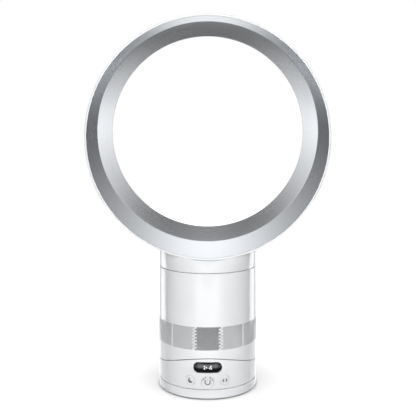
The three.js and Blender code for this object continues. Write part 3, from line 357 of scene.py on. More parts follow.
control_housing = turned("control_housing_ring", housing_outline, 288)
machine(control_housing, [
    prism(stadium(WINDOW_WIDTH, WINDOW_HEIGHT), WINDOW_Z, -80, -40),
    spoke(KEY_R + KEY_GAP, KEY_Z, -KEY_TURN, 60, 80), spoke(KEY_R + KEY_GAP, KEY_Z, KEY_TURN, 60, 80),
    spoke(RING_R + KEY_GAP, RING_Z, 0, 60, 80, 96),
])
fit(control_housing, "swing_base", "white_casing", white_abs, "control_housing")


# ---- side keys ----------------------------------------------------------------------------
# Two round keys, for the sleep timer and for the swing. Each is a white ABS cap flush with
# the column on a stem that presses its switch; the grey signs are printed on.
KEY_FACE, KEY_BACK, KEY_EDGE = 73.75, 70.5, 0.35
KEY_SIDES = 96
STEM_R = 1.6


def rolled(name, outlines, turn, z, inner, outer):
    """Flat outlines laid onto the column: u runs round it and v up it, in mm."""
    bm = bmesh.new()
    for outline in outlines:
        layers = [[bm.verts.new(on_column(radius, turn + u / outer, z + v)) for u, v in outline]
                  for radius in (inner, outer)]
        ends = [bm.faces.new(layer) for layer in layers]
        skin(bm, layers)
        bmesh.ops.triangulate(bm, faces=ends)
    return piece_from(name, bm)


def printed(name, signs, turn, z):
    """Signs printed on a key, as a thin skin that stands just proud of its face."""
    return rolled(name, signs, turn, z, KEY_FACE - 0.15, KEY_FACE + 0.03)


def stroke(u0, u1, v0, v1):
    """An upright or level stroke of a sign."""
    return [(u0, v0), (u1, v0), (u1, v1), (u0, v1)]


def disc_cap(name, radius, z, turn, stem_end=None, hole=0.0, back=KEY_BACK):
    """A round key that follows the column's curve, with a softened edge and maybe a stem or a hole."""
    outside = [(radius - KEY_EDGE, KEY_FACE), (radius - KEY_EDGE * 0.3, KEY_FACE - KEY_EDGE * 0.3),
               (radius, KEY_FACE - KEY_EDGE), (radius, back)]
    if hole:
        inside = [(hole, back), (hole, KEY_FACE - KEY_EDGE),
                  (hole + KEY_EDGE * 0.3, KEY_FACE - KEY_EDGE * 0.3), (hole + KEY_EDGE, KEY_FACE)]
        face = [(hole + (radius - hole) * share, KEY_FACE) for share in (0.375, 0.625)]
        rings = inside + face + outside
    else:
        rings = [(radius * k / 6, KEY_FACE) for k in range(6)] + outside + [(0, back)]
    bm = bmesh.new()
    columns = []
    for i in range(KEY_SIDES):
        a = i * 2 * math.pi / KEY_SIDES
        columns.append([bm.verts.new(on_column(level, turn + reach * math.cos(a) / KEY_FACE,
                                               z + reach * math.sin(a))) for reach, level in rings])
    last = len(rings) if hole else len(rings) - 1
    for i, column in enumerate(columns):
        beside = columns[(i + 1) % KEY_SIDES]
        for j in range(last):
            k = (j + 1) % len(rings)
            bm.faces.new((column[j], column[k], beside[k], beside[j]))
    cap = piece_from(name, bm)
    if stem_end:
        machine(cap, [spoke(STEM_R, z, turn, stem_end, back + 0.4, 32)], "UNION")
    return cap


sign_ink = moulding("sign_ink", (0.22, 0.23, 0.24), (0.19, 0.20, 0.21), 0.4, 0.2)
moon = arc_points(3.9, 92, 328) + arc_points(3.25, 294, 126, 1.45, 1.25)
half_left = arc_points(2.75, 100, 260, -1.2, 0)
half_right = [(-u, v) for u, v in half_left[::-1]]
swing_sign = [half_left, half_right, stroke(-0.25, 0.25, -2.9, 2.9)]
for key, body, side, signs in (
    ("sleep_timer_button", "sleep_timer_key", -1, [moon]),
    ("swing_button", "swing_key", 1, swing_sign),
):
    cap = disc_cap(f"{key}_cap", KEY_R, KEY_Z, side * KEY_TURN, 69.0)
    fit(cap, body, "white_casing", white_abs, key)
    fit(printed(f"{key}_sign", signs, side * KEY_TURN, KEY_Z), body, "grey_plastic", sign_ink)

# ---- airflow ring and power key -----------------------------------------------------------
# The middle control: a white ring that rocks to give more or less air, with two wedge signs,
# round a small white power key with its printed sign.
RING_HOLE, RING_BACK = 5.1, 71.3
WEDGE_R = 7.6
POWER_R = 4.6
POWER_SIGN_OUT, POWER_SIGN_IN = 3.85, 3.45
rocker = disc_cap("airflow_ring", RING_R, RING_Z, 0, hole=RING_HOLE, back=RING_BACK)
fit(rocker, "airflow_key", "white_casing", white_abs, "airflow_rocker")


def wedge(start, end, thin, thick, steps=24):
    """An arc that swells from a thin end to a thick end, the sign for less and more."""
    outer, inner = [], []
    for k in range(steps + 1):
        a = math.radians(start + (end - start) * k / steps)
        half = (thin + (thick - thin) * k / steps) / 2
        outer.append(((WEDGE_R + half) * math.cos(a), (WEDGE_R + half) * math.sin(a)))
        inner.append(((WEDGE_R - half) * math.cos(a), (WEDGE_R - half) * math.sin(a)))
    return outer + inner[::-1]


air_signs = printed("airflow_ring_signs", [wedge(168, 106, 0.6, 1.3), wedge(74, 18, 0.7, 1.9)], 0, RING_Z)
fit(air_signs, "airflow_key", "grey_plastic", sign_ink)
power_cap = disc_cap("power_button_cap", POWER_R, RING_Z, 0, 66.5)
fit(power_cap, "power_key", "white_casing", white_abs, "power_button")
power_arc = arc_points(POWER_SIGN_OUT, 122, 418) + arc_points(POWER_SIGN_IN, 418, 122)
power_sign = printed("power_button_sign", [power_arc, stroke(-0.25, 0.25, 1.4, POWER_SIGN_OUT)], 0, RING_Z)
fit(power_sign, "power_key", "grey_plastic", sign_ink)

# ---- display window -----------------------------------------------------------------------
# A smoked black acrylic pill over the digits, crowned a little so that it catches the light.
# It is moulded, polished and clipped into the housing from inside.
black_acrylic = moulding("black_acrylic", (0.006, 0.006, 0.007), (0.008, 0.008, 0.009), 0.2, 0.01,
                         grain=60.0, coat=0.6)
WINDOW_FACE, WINDOW_THICK = 73.35, 2.0
WINDOW_CROWN = 1.1
WINDOW_GAP = 0.3
CROWN_STEPS = 12


def pill_window():
    """The face as loops that fall away from its middle line, closed by a flat back."""
    half, reach = WINDOW_HEIGHT / 2 - WINDOW_GAP, (WINDOW_WIDTH - WINDOW_HEIGHT) / 2
    bm = bmesh.new()
    loops = []
    for step in range(1, CROWN_STEPS + 2):
        share = min(step / CROWN_STEPS, 1)
        level = WINDOW_FACE - (WINDOW_CROWN * share ** 2.6 if step <= CROWN_STEPS else WINDOW_THICK)
        flat = stadium(2 * (reach + half * share), 2 * half * share)
        loop = []
        for (u, v), (next_u, next_v) in zip(flat, flat[1:] + flat[:1]):
            count = max(1, round(abs(next_u - u) / 1.5))
            for k in range(count):
                along, up = u + (next_u - u) * k / count, v + (next_v - v) * k / count
                loop.append(bm.verts.new(on_column(level, along / WINDOW_FACE, WINDOW_Z + up)))
        loops.append(loop)
    skin(bm, loops)
    for loop in (loops[0][::-1], loops[-1]):
        bmesh.ops.triangulate(bm, faces=[bm.faces.new(loop)])
    return piece_from("display_window_pill", bm, 40)


fit(pill_window(), "swing_base", "display_window", black_acrylic, "display_window")

# ---- display signs ------------------------------------------------------------------------
# The lit part of the display: a small fan sign and the number of the airflow step. They are
# light-emitting segments that shine through the window.
lit_segments = moulding("lit_segments", (0.80, 0.82, 0.84), (0.74, 0.76, 0.78), 0.35, 0.05)
lit = lit_segments.node_tree.nodes["Principled BSDF"]
lit.inputs["Emission Color"].default_value = (0.86, 0.89, 0.92, 1)
lit.inputs["Emission Strength"].default_value = 0.35


def fan_blade(turn):
    """One of the fan sign's three blades, from its hub out to an arc."""
    hub = math.radians(turn - 8)
    return [(0.35 * math.cos(hub), 0.35 * math.sin(hub))] + arc_points(2.8, turn - 30, turn + 30, steps=12)


fan_sign = [[(u - 3.6, v) for u, v in fan_blade(turn)] for turn in (0, 120, 240)]
four = [stroke(4.5, 5.4, -3.0, -1.7), stroke(1.8, 6.3, -1.7, -0.8), stroke(4.5, 5.4, -0.8, 3.0),
        [(1.8, -0.8), (2.9, -0.8), (4.5, 1.6), (4.5, 3.0)]]
display_signs = rolled("display_signs", fan_sign + four, 0, WINDOW_Z, WINDOW_FACE - 0.2, WINDOW_FACE + 0.02)
fit(display_signs, "swing_base", "display_window", lit_segments)

# ---- body shell with its inlet grille -----------------------------------------------------
# The column that tilts. White ABS, moulded with twelve panels of fine slots all round, where
# the air goes in. The main panels, at the front, sides and rear, have toothed ribs and wider
# slots; a thin plain rib marks where the mould parts. The spigot on top takes the loop's neck.
BODY_TOP = 179.9
SPIGOT_IN, SPIGOT_OUT, SPIGOT_TOP = 63.7, 66.1, 186.4
FLANGE_IN, FLANGE_UNDER, FLANGE_TOP = 64.5, 104.4, 106.0
BAND_LOW, BAND_HIGH = 69.0, 105.2
GRILLE_LOW, GRILLE_HIGH = 70.6, 103.6
SCREW_BOSS_R, SCREW_BOSS_UNDER, SCREW_BOSS_TOP = 4.2, 66.6, 70.0
CONE_UNDER, CONE_TOP = 170.3, 177.7
LUG_IN, LUG_OUT, LUG_UNDER = 65.6, 68.9, 184.0
LUG_TURNS, LUG_HALF_TURN = (0, 120, 240), 6


def body_outline(turn):
    def under(radius):
        return saddle_z(radius, turn, SADDLE - TILT_GAP)
    return rounded([
        (WALL_IN, under(WALL_IN)), (COLUMN_R, under(COLUMN_R), 0.3), (COLUMN_R, BAND_LOW, 0),
        (COLUMN_R, BAND_HIGH, 0), (COLUMN_R, BODY_TOP, 0.3), (SPIGOT_OUT, BODY_TOP),
        (SPIGOT_OUT, SPIGOT_TOP), (SPIGOT_IN, SPIGOT_TOP), (SPIGOT_IN, CONE_TOP), (WALL_IN, CONE_UNDER),
        (WALL_IN, FLANGE_TOP), (FLANGE_IN, FLANGE_TOP), (FLANGE_IN, FLANGE_UNDER),
        (WALL_IN, FLANGE_UNDER), (WALL_IN, BAND_LOW, 0),
    ], 0.2, 4)


def arc_block(inner, outer, start, end, z0, z1, steps=8):
    """A sector of a ring, between two turns in degrees from +X."""
    bm = bmesh.new()
    corners = ((inner, z0), (outer, z0), (outer, z1), (inner, z1))
    rows = []
    for k in range(steps + 1):
        a = math.radians(start + (end - start) * k / steps)
        rows.append([bm.verts.new((r * math.cos(a) * MM, r * math.sin(a) * MM, z * MM))
                     for r, z in corners])
    skin(bm, rows)
    for row in (rows[0], rows[-1]):
        bm.faces.new(row)
    return piece_from("arc_block", bm)


def grille_tree():
    """Cuts rows of slots: bars are laid out flat, rolled round the axis and cut from the wall."""
    tree = bpy.data.node_groups.new("inlet_grille", "GeometryNodeTree")
    face = tree.interface
    face.new_socket("Geometry", in_out="INPUT", socket_type="NodeSocketGeometry")
    for name, kind in (
        ("Rows", "Int"), ("Panels", "Int"), ("Bottom", "Float"), ("Height", "Float"),
        ("Slot share", "Float"), ("Main share", "Float"), ("Toothed rib", "Float"),
        ("Parting rib", "Float"), ("Tooth step", "Float"), ("Radius", "Float"), ("Depth", "Float"),
        ("Material", "Material"),
    ):
        face.new_socket(name, in_out="INPUT", socket_type="NodeSocket" + kind)
    face.new_socket("Geometry", in_out="OUTPUT", socket_type="NodeSocketGeometry")
    nodes, link = tree.nodes, tree.links.new
    given = nodes.new("NodeGroupInput").outputs

    def feed(node, values):
        for socket, value in zip(node.inputs, values):
            if isinstance(value, (int, float)):
                socket.default_value = value
            else:
                link(value, socket)
        return node.outputs[0]

    def maths(operation, *values):
        node = nodes.new("ShaderNodeMath")
        node.operation = operation
        return feed(node, values)

    def vector(x, y, z):
        return feed(nodes.new("ShaderNodeCombineXYZ"), (x, y, z))

    pitch = maths("DIVIDE", given["Height"], given["Rows"])
    step = maths("DIVIDE", 2 * math.pi, given["Panels"])
    points = nodes.new("GeometryNodePoints")
    link(maths("MULTIPLY", given["Rows"], given["Panels"]), points.inputs["Count"])
    index = nodes.new("GeometryNodeInputIndex").outputs[0]
    row = maths("MODULO", index, given["Rows"])
    panel = maths("FLOOR", maths("DIVIDE", index, given["Rows"]))
    pair = maths("MODULO", maths("FLOOR", maths("DIVIDE", row, 2)), 2)
    tooth = maths("MULTIPLY", maths("SUBTRACT", maths("MULTIPLY", pair, 2), 1), given["Tooth step"])

    def rib_edge(number, side):
        """Where a slot meets its rib: every third rib is the plain one at the mould's parting line."""
        plain = maths("COMPARE", maths("MODULO", number, 3), 1, 0.1)
        toothed = maths("SUBTRACT", 1, plain)
        half = maths("MULTIPLY", 0.5 * side, maths("ADD", maths("MULTIPLY", plain, given["Parting rib"]),
                                                   maths("MULTIPLY", toothed, given["Toothed rib"])))
        middle = maths("MULTIPLY", maths("ADD", number, 0.5), step)
        return maths("ADD", maths("ADD", middle, maths("MULTIPLY", toothed, tooth)), half)

    start, end = rib_edge(panel, 1), rib_edge(maths("ADD", panel, 1), -1)
    height = maths("ADD", given["Bottom"], maths("MULTIPLY", maths("ADD", row, 0.5), pitch))
    link(vector(maths("MULTIPLY", maths("ADD", start, end), 0.5), 0, height), points.inputs["Position"])
    slot_bar = nodes.new("GeometryNodeMeshCube")
    link(vector(1, given["Depth"], pitch), slot_bar.inputs["Size"])
    slot_bar.inputs["Vertices X"].default_value = 9
    laid = nodes.new("GeometryNodeInstanceOnPoints")
    link(points.outputs[0], laid.inputs["Points"])
    link(slot_bar.outputs["Mesh"], laid.inputs["Instance"])
    main = maths("COMPARE", maths("MODULO", panel, 3), 2, 0.1)
    wider = maths("MULTIPLY", main, maths("SUBTRACT", given["Main share"], given["Slot share"]))
    slot_size = vector(maths("SUBTRACT", end, start), 1, maths("ADD", given["Slot share"], wider))
    link(slot_size, laid.inputs["Scale"])
    flat = nodes.new("GeometryNodeRealizeInstances")
    link(laid.outputs[0], flat.inputs[0])
    at = nodes.new("ShaderNodeSeparateXYZ")
    link(nodes.new("GeometryNodeInputPosition").outputs[0], at.inputs[0])
    reach = maths("ADD", given["Radius"], at.outputs["Y"])
    roll = nodes.new("GeometryNodeSetPosition")
    link(flat.outputs[0], roll.inputs["Geometry"])
    link(vector(maths("MULTIPLY", reach, maths("SINE", at.outputs["X"])),
                maths("MULTIPLY", reach, maths("MULTIPLY", maths("COSINE", at.outputs["X"]), -1)),
                at.outputs["Z"]), roll.inputs["Position"])
    turn_over = nodes.new("GeometryNodeFlipFaces")
    link(roll.outputs[0], turn_over.inputs[0])
    cut = nodes.new("GeometryNodeMeshBoolean")
    cut.operation, cut.solver = "DIFFERENCE", "MANIFOLD"
    link(given["Geometry"], cut.inputs["Mesh 1"])
    link(turn_over.outputs[0], cut.inputs["Mesh 2"])
    whole = nodes.new("GeometryNodeRealizeInstances")
    link(cut.outputs["Mesh"], whole.inputs[0])
    paint = nodes.new("GeometryNodeSetMaterial")
    link(whole.outputs[0], paint.inputs["Geometry"])
    link(given["Material"], paint.inputs["Material"])
    link(paint.outputs[0], nodes.new("NodeGroupOutput").inputs[0])
    return tree


body_shell = turned("body_shell_column", body_outline, 288)
bosses = []
for turn in (90, 210, 330):
    c, s = math.cos(math.radians(turn)), math.sin(math.radians(turn))
    for r in (60.1, 67.9):
        bosses.append(bar((r * c, r * s, SCREW_BOSS_UNDER), (r * c, r * s, SCREW_BOSS_TOP),
                          SCREW_BOSS_R, 32))
for turn in LUG_TURNS:
    bosses.append(arc_block(LUG_IN, LUG_OUT, turn - LUG_HALF_TURN, turn + LUG_HALF_TURN,
                            LUG_UNDER, SPIGOT_TOP))
machine(body_shell, bosses, "UNION")
grille = body_shell.modifiers.new("inlet_grille", "NODES")
grille.node_group = grille_tree()
grille_inputs = {item.name: item.identifier for item in grille.node_group.interface.items_tree
                 if item.in_out == "INPUT"}
for name, value in (
    ("Rows", 28), ("Panels", 12), ("Bottom", GRILLE_LOW * MM), ("Height", (GRILLE_HIGH - GRILLE_LOW) * MM),
    ("Slot share", 0.54), ("Main share", 0.84), ("Toothed rib", math.radians(2.5)),
    ("Parting rib", math.radians(1.2)), ("Tooth step", math.radians(1.2)),
    ("Radius", (COLUMN_R + WALL_IN) / 2 * MM), ("Depth", 6 * MM), ("Material", white_abs),
):
    grille[grille_inputs[name]] = value
make_plain(body_shell)
fit(body_shell, "motor_body", "white_casing", white_abs, "body_shell")

# ---- shoe, runners and leads' grommet -----------------------------------------------------
# The body's curved floor slides on the cradle. It is grey ABS, with two acetal runners hung
# through the cradle's slots to hold it down, and a rubber grommet where the leads pass.
dress(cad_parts["tilt_shoe"], grey_abs)
dress(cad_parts["tilt_runner_left"], acetal)
dress(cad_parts["tilt_runner_right"], acetal)
dress(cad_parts["cable_grommet"], pad_rubber)

# ---- inlet foam ---------------------------------------------------------------------------
# A ring of open-cell foam behind the grille quiets the air that goes in. It is cut from
# sheet and rests on the shoe.
open_foam = moulding("open_foam", (0.055, 0.056, 0.060), (0.030, 0.031, 0.034), 0.95, 1.0, 1400.0)
dress(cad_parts["inlet_foam"], open_foam)

# ---- impeller housing, vanes and seals ----------------------------------------------------
# The grey duct round the impeller hangs in the body on a rubber ring. The vanes straighten
# the air, and a second rubber ring seals the duct to the body's spigot.
dress(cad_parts["impeller_housing"], grey_abs)
dress(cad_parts["diffuser_vanes"], grey_abs)
dress(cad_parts["duct_seal"], pad_rubber)
dress(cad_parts["outlet_seal"], pad_rubber)

# ---- motor --------------------------------------------------------------------------------
# A brushless motor sits in a grey bucket above the impeller, between two ball bearings. The
# stator is a stack of steel sheets wound with enamelled copper wire.
dress(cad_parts["motor_plate"], grey_abs)
dress(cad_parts["motor_bucket"], grey_abs)
copper_wire = metal("copper_wire", (0.55, 0.27, 0.12), 0.38, 260.0, (1, 1, 9), 0.6)
dress(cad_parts["motor_stator"], copper_wire)
for part in ("motor_bearing_lower", "motor_bearing_upper", "motor_shaft", "motor_rotor"):
    dress(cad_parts[part], zinc_steel)

# ---- impeller -----------------------------------------------------------------------------
# The mixed-flow impeller that drives the air: nine swept blades on a cone, moulded in one
# from black glass-filled plastic and pressed onto the shaft.
dress(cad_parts["impeller"], black_abs)

# ---- air loop, outer casing ---------------------------------------------------------------
# The white loop's outside, its curled rear and the neck that twist-locks onto the body. It
# is one white ABS moulding, left hollow as the duct that feeds the slot all round.
LOOP_Z = 375.7
LOOP_R = 178.0
BORE_UP = 8.0
FRONT_Y, REAR_Y = -66.0, 52.0
OUTER_CURL, INNER_CURL = 24.0, 12.0
CASING_WALL = 2.2
LIP_IN, LIP_OUT, LIP_Y = 151.3, 152.7, 36.0
CURL_MIDDLE = (LOOP_R + LIP_IN) / 2
NECK_UNDER = 180.8
NECK_BORE_R, NECK_BORE_Y, NECK_BORE_UNDER, NECK_BORE_TOP = 42.0, -6.0, 185.7, 212.0
NECK_LUG_IN, NECK_LUG_OUT, NECK_LUG_UNDER, NECK_LUG_TOP = 66.7, 71.6, 181.3, 183.7


def hoop(name, outline, segments=288, sharp=32):
    """A closed ring about the loop's axis; an outline's corner is (radius, y, share of the bore's rise)."""
    bm = bmesh.new()
    rows = []
    for i in range(segments):
        a = i * 2 * math.pi / segments
        rows.append([bm.verts.new((r * math.sin(a) * MM, y * MM,
                                   (LOOP_Z + BORE_UP * share + r * math.cos(a)) * MM))
                     for r, y, share in outline])
    skin(bm, rows, closed=True)
    return piece_from(name, bm, sharp)


def curl(inset, steps=20):
    """The rear of the loop, from the outer wall round to the lip in the bore."""
    half = (LOOP_R - LIP_IN) / 2 - inset
    points = []
    for k in range(steps + 1):
        a = math.pi * k / steps
        depth = (OUTER_CURL if a < math.pi / 2 else INNER_CURL) - inset
        points.append((CURL_MIDDLE + half * math.cos(a), REAR_Y - inset - depth * (1 - math.sin(a)),
                       (1 - math.cos(a)) / 2))
    return points


rim = [(LOOP_R - back, FRONT_Y + y, 0)
       for back, y in ((3.2, 0), (1.5, 0), (0.95, 0.15), (0.5, 0.6), (0.15, 1.3), (0, 2.2))]
lip = [(LIP_IN, LIP_Y + 0.3, 1), (LIP_IN + 0.3, LIP_Y, 1), (LIP_OUT - 0.3, LIP_Y, 1),
       (LIP_OUT, LIP_Y + 0.3, 1)]
inside = curl(CASING_WALL)[::-1] + [(LOOP_R - CASING_WALL, -58, 0), (LOOP_R - 3.2, -60, 0)]
outer_casing = hoop("loop_casing_with_neck", rim + curl(0) + lip + inside)


def curl_radius(y):
    """Radius of the loop's outer face at a depth y, where the wall starts to curl in."""
    if y <= REAR_Y - OUTER_CURL:
        return LOOP_R
    rise = 1 - (REAR_Y - min(y, REAR_Y)) / OUTER_CURL
    return CURL_MIDDLE + (LOOP_R - LIP_IN) / 2 * math.sqrt(max(0.0, 1 - rise ** 2))


def neck_z(radius, turn, reach=None):
    """Height of the neck's top at a place on the column: it follows the loop's underside."""
    x, y = radius * math.sin(turn), -radius * math.cos(turn)
    top = reach or max(171.0, curl_radius(y) - 0.2)
    return LOOP_Z - math.sqrt(top ** 2 - x ** 2)


def neck_outline(turn):
    """The neck as a plug: a small lower edge, a fine upper edge, and a top hidden in the loop."""
    lower = [(WALL_IN + 0.15, NECK_UNDER), (COLUMN_R - 0.3, NECK_UNDER),
             (COLUMN_R - 0.08, NECK_UNDER + 0.1), (COLUMN_R, NECK_UNDER + 0.3)]
    upper = [(COLUMN_R - back, neck_z(COLUMN_R - seat, turn) - drop)
             for back, seat, drop in ((0, 0, 1.1), (0.1, 0, 0.6), (0.35, 0.35, 0.25), (0.9, 0.9, 0))]
    radii = (69, 64, 58, 52, 46, 38, 28, 16, 6, 0)
    top = [(r, neck_z(r, turn)) for r in radii]
    under = [(r, neck_z(r, turn, 182.0)) for r in (*radii[::-1], WALL_IN)]
    return lower + upper + top + under


machine(outer_casing, [turned("neck", neck_outline, 288)], "UNION")
machine(outer_casing, [bar((0, NECK_BORE_Y, NECK_BORE_UNDER), (0, NECK_BORE_Y, NECK_BORE_TOP),
                           NECK_BORE_R, 96)])
machine(outer_casing, [arc_block(NECK_LUG_IN, NECK_LUG_OUT, turn - LUG_HALF_TURN, turn + LUG_HALF_TURN,
                                 NECK_LUG_UNDER, NECK_LUG_TOP) for turn in LUG_TURNS], "UNION")
fit(outer_casing, "air_loop", "white_casing", white_abs, "loop_outer_casing")


# ---- air loop, inner casing ---------------------------------------------------------------
# The silver inside of the loop: a bezel, a sloping wall and the curve over which the slot
# blows. It is an ABS moulding sprayed with satin silver paint, with eight ribs in the slot.
def silver_paint():
    """Metal-flake paint: fine flakes, a slow drift of gloss and a satin skin."""
    material, tree = new_material("silver_paint")
    place = add_node(tree, "ShaderNodeTexCoord", {}).outputs["Object"]
    flakes = add_node(tree, "ShaderNodeTexVoronoi", {"Vector": place, "Scale": 2600.0})
    drift = add_node(tree, "ShaderNodeTexNoise", {"Vector": place, "Scale": 14.0})
    tint = add_node(tree, "ShaderNodeMix", {
        "A": (0.735, 0.755, 0.785, 1), "B": (0.75, 0.77, 0.80, 1), "Factor": flakes.outputs["Color"],
    }, data_type="RGBA")
    gloss = add_node(tree, "ShaderNodeMapRange", {
        "Value": drift.outputs["Fac"], "To Min": 0.25, "To Max": 0.29})
    bump = add_node(tree, "ShaderNodeBump", {
        "Height": flakes.outputs["Distance"], "Strength": 0.02, "Distance": 0.00001})
    set_inputs(tree, tree.nodes["Principled BSDF"], {
        "Base Color": tint.outputs["Result"], "Roughness": gloss.outputs["Result"],
        "Normal": bump.outputs["Normal"], "Metallic": 1.0})
    return material


THROAT_R, THROAT_Y = 147.6, 14.0
SLOT = 1.7
SLOT_END_Y = 42.0
RIB_IN, RIB_OUT, RIB_FRONT, RIB_REAR = 153.6, 156.6, 36.6, 39.0


def silver_curve(inset, steps=16):
    """From the throat the wall bends ever more outwards, past the slot: the curve the air clings to."""
    rise, run = LIP_OUT + SLOT - THROAT_R, LIP_Y - THROAT_Y
    points = []
    for k in range(steps + 1):
        y = THROAT_Y + (SLOT_END_Y - THROAT_Y) * k / steps
        share = (y - THROAT_Y) / run
        slope = 1.7 * rise / run * share ** 0.7
        length = math.hypot(1, slope)
        points.append((THROAT_R + rise * share ** 1.7 + inset / length, y - inset * slope / length, 1))
    return points


bezel = [(174.5, FRONT_Y, 0), (162.0, -53.3, 0.93), (161.0, -52.3, 0.98)]
wall = [(160.75, -52.0, 1), (160.5, -51.4, 1), (160.2, -50.2, 1), (156.6, -35, 1), (153.7, -20, 1),
        (150.9, -5, 1), (148.9, 6, 1), (148.0, 11, 1)]
hidden_side = silver_curve(CASING_WALL)[::-1] + [(163.5, -51, 1), (174.5, -63.6, 0)]
inner_profile = bezel + wall + silver_curve(0) + hidden_side
inner_casing = hoop("loop_silver_casing", inner_profile, 288, 25)
ribs = []
for k in range(8):
    a = math.radians(22.5 + 45 * k)
    bm = bmesh.new()
    for across in (-1, 1):
        for r in (RIB_IN, RIB_OUT):
            for y in (RIB_FRONT, RIB_REAR):
                x = r * math.sin(a) + across * math.cos(a)
                z = LOOP_Z + BORE_UP + r * math.cos(a) - across * math.sin(a)
                bm.verts.new((x * MM, y * MM, z * MM))
    bmesh.ops.convex_hull(bm, input=bm.verts)
    ribs.append(piece_from("rib", bm))
machine(inner_casing, ribs, "UNION", 25)
fit(inner_casing, "air_loop", "silver_casing", silver_paint(), "loop_inner_casing")


# ---- studio -------------------------------------------------------------------------------
# A pale table in a white surround, with large soft lights in front, behind and above. Graded
# cards stand in for them in the gloss: a tent, a screen at the rear, strips and dark flags.
LOOP_MIDDLE = 0.376
TABLE_R = 3.0


def ramp_of(tree, value, stops):
    """A value that follows stops of (place, brightness)."""
    node = tree.nodes.new("ShaderNodeValToRGB")
    ramp = node.color_ramp
    ramp.elements[0].position, ramp.elements[1].position = stops[0][0], stops[-1][0]
    ramp.elements[0].color = (*[stops[0][1]] * 3, 1)
    ramp.elements[1].color = (*[stops[-1][1]] * 3, 1)
    for place, brightness in stops[1:-1]:
        ramp.elements.new(place).color = (*[brightness] * 3, 1)
    tree.links.new(value, node.inputs["Fac"])
    return node.outputs["Color"]


def card(name, rows, strength, stops=None):
    """A sheet of light that shows only in reflections; stops grade it from straight down to up."""
    bm = bmesh.new()
    made = [[bm.verts.new(point) for point in row] for row in rows]
    for low, high in zip(made, made[1:]):
        for i in range(len(low) - 1):
            bm.faces.new((low[i], low[i + 1], high[i + 1], high[i]))
    mesh = bpy.data.meshes.new(name)
    bm.to_mesh(mesh)
    bm.free()
    sheet = bpy.data.objects.new(name, mesh)
    bpy.context.scene.collection.objects.link(sheet)
    material, tree = new_material(name)
    tree.nodes.clear()
    glow = add_node(tree, "ShaderNodeEmission", {"Strength": strength})
    add_node(tree, "ShaderNodeOutputMaterial", {"Surface": glow.outputs[0]})
    if stops:
        place = add_node(tree, "ShaderNodeTexCoord", {}).outputs["Object"]
        centred = add_node(tree, "ShaderNodeMapping", {"Vector": place, "Location": (0, 0, -LOOP_MIDDLE)})
        flat = add_node(tree, "ShaderNodeVectorMath", {0: centred.outputs["Vector"], 1: (1, 0, 1)},
                        operation="MULTIPLY")
        unit = add_node(tree, "ShaderNodeVectorMath", {0: flat.outputs["Vector"]}, operation="NORMALIZE")
        parts = add_node(tree, "ShaderNodeSeparateXYZ", {0: unit.outputs["Vector"]})
        share = add_node(tree, "ShaderNodeMath", {0: parts.outputs["Z"], 1: 0.5, 2: 0.5},
                         operation="MULTIPLY_ADD")
        set_inputs(tree, glow, {"Color": ramp_of(tree, share.outputs[0], stops)})
    mesh.materials.append(material)
    sheet.visible_camera = sheet.visible_diffuse = sheet.visible_shadow = False
    sheet.visible_transmission = False


def seen_share(tree):
    """1 where the camera, gloss or glass looks, 0 for the light that falls on things."""
    path = add_node(tree, "ShaderNodeLightPath", {})
    total = path.outputs["Is Camera Ray"]
    for other in ("Is Glossy Ray", "Is Transmission Ray"):
        total = add_node(tree, "ShaderNodeMath", {0: total, 1: path.outputs[other]},
                         operation="ADD", use_clamp=True).outputs[0]
    return total


world = bpy.data.worlds.new("studio")
bpy.context.scene.world = world
world.use_nodes = True
surround = world.node_tree
level = add_node(surround, "ShaderNodeMapRange", {
    "Value": seen_share(surround), "To Min": 0.08, "To Max": 1.0})
set_inputs(surround, surround.nodes["Background"], {
    "Color": (1, 1, 1, 1), "Strength": level.outputs["Result"]})

table_mesh = bpy.data.meshes.new("table")
table_mesh.from_pydata([(TABLE_R * math.sin(a * math.pi / 32), TABLE_R * math.cos(a * math.pi / 32), 0)
                        for a in range(64, 0, -1)], [], [range(64)])
table = bpy.data.objects.new("table", table_mesh)
bpy.context.scene.collection.objects.link(table)
table_top, tree = new_material("table_top")
tree.nodes.clear()
place = add_node(tree, "ShaderNodeTexCoord", {}).outputs["Object"]
reach = add_node(tree, "ShaderNodeVectorMath", {0: place}, operation="LENGTH").outputs["Value"]
# Painted shade and painted light on the table: its glow is nil under the foot and just round it, a painted
# contact shadow, and rises with distance from the fan, painted light that makes up for the lamps' falloff.
painted_contact_shadow_and_glow = ramp_of(tree, reach, [
    (0.0, 0.0), (0.072, 0.0), (0.0755, 0.6), (0.12, 0.76), (0.3, 0.80), (0.8, 1.0)])
lift_level = add_node(tree, "ShaderNodeMath", {0: seen_share(tree), 1: painted_contact_shadow_and_glow}, operation="MULTIPLY")
lift = add_node(tree, "ShaderNodeEmission", {"Strength": lift_level.outputs[0]})
matt = add_node(tree, "ShaderNodeBsdfDiffuse", {"Color": (0.55, 0.55, 0.55, 1)})
both = add_node(tree, "ShaderNodeAddShader", {0: matt.outputs[0], 1: lift.outputs[0]})
add_node(tree, "ShaderNodeOutputMaterial", {"Surface": both.outputs[0]})
table_mesh.materials.append(table_top)


def softbox(name, place, aim, width, height, watts):
    """A large soft lamp. The cards stand in for its gloss, so neither camera nor gloss shows it."""
    light = bpy.data.lights.new(name, "AREA")
    light.shape, light.size, light.size_y, light.energy = "RECTANGLE", width, height, watts
    lamp = bpy.data.objects.new(name, light)
    lamp.location = place
    lamp.rotation_euler = (Vector(aim) - Vector(place)).to_track_quat("-Z", "Y").to_euler()
    lamp.visible_camera = lamp.visible_glossy = False
    bpy.context.scene.collection.objects.link(lamp)


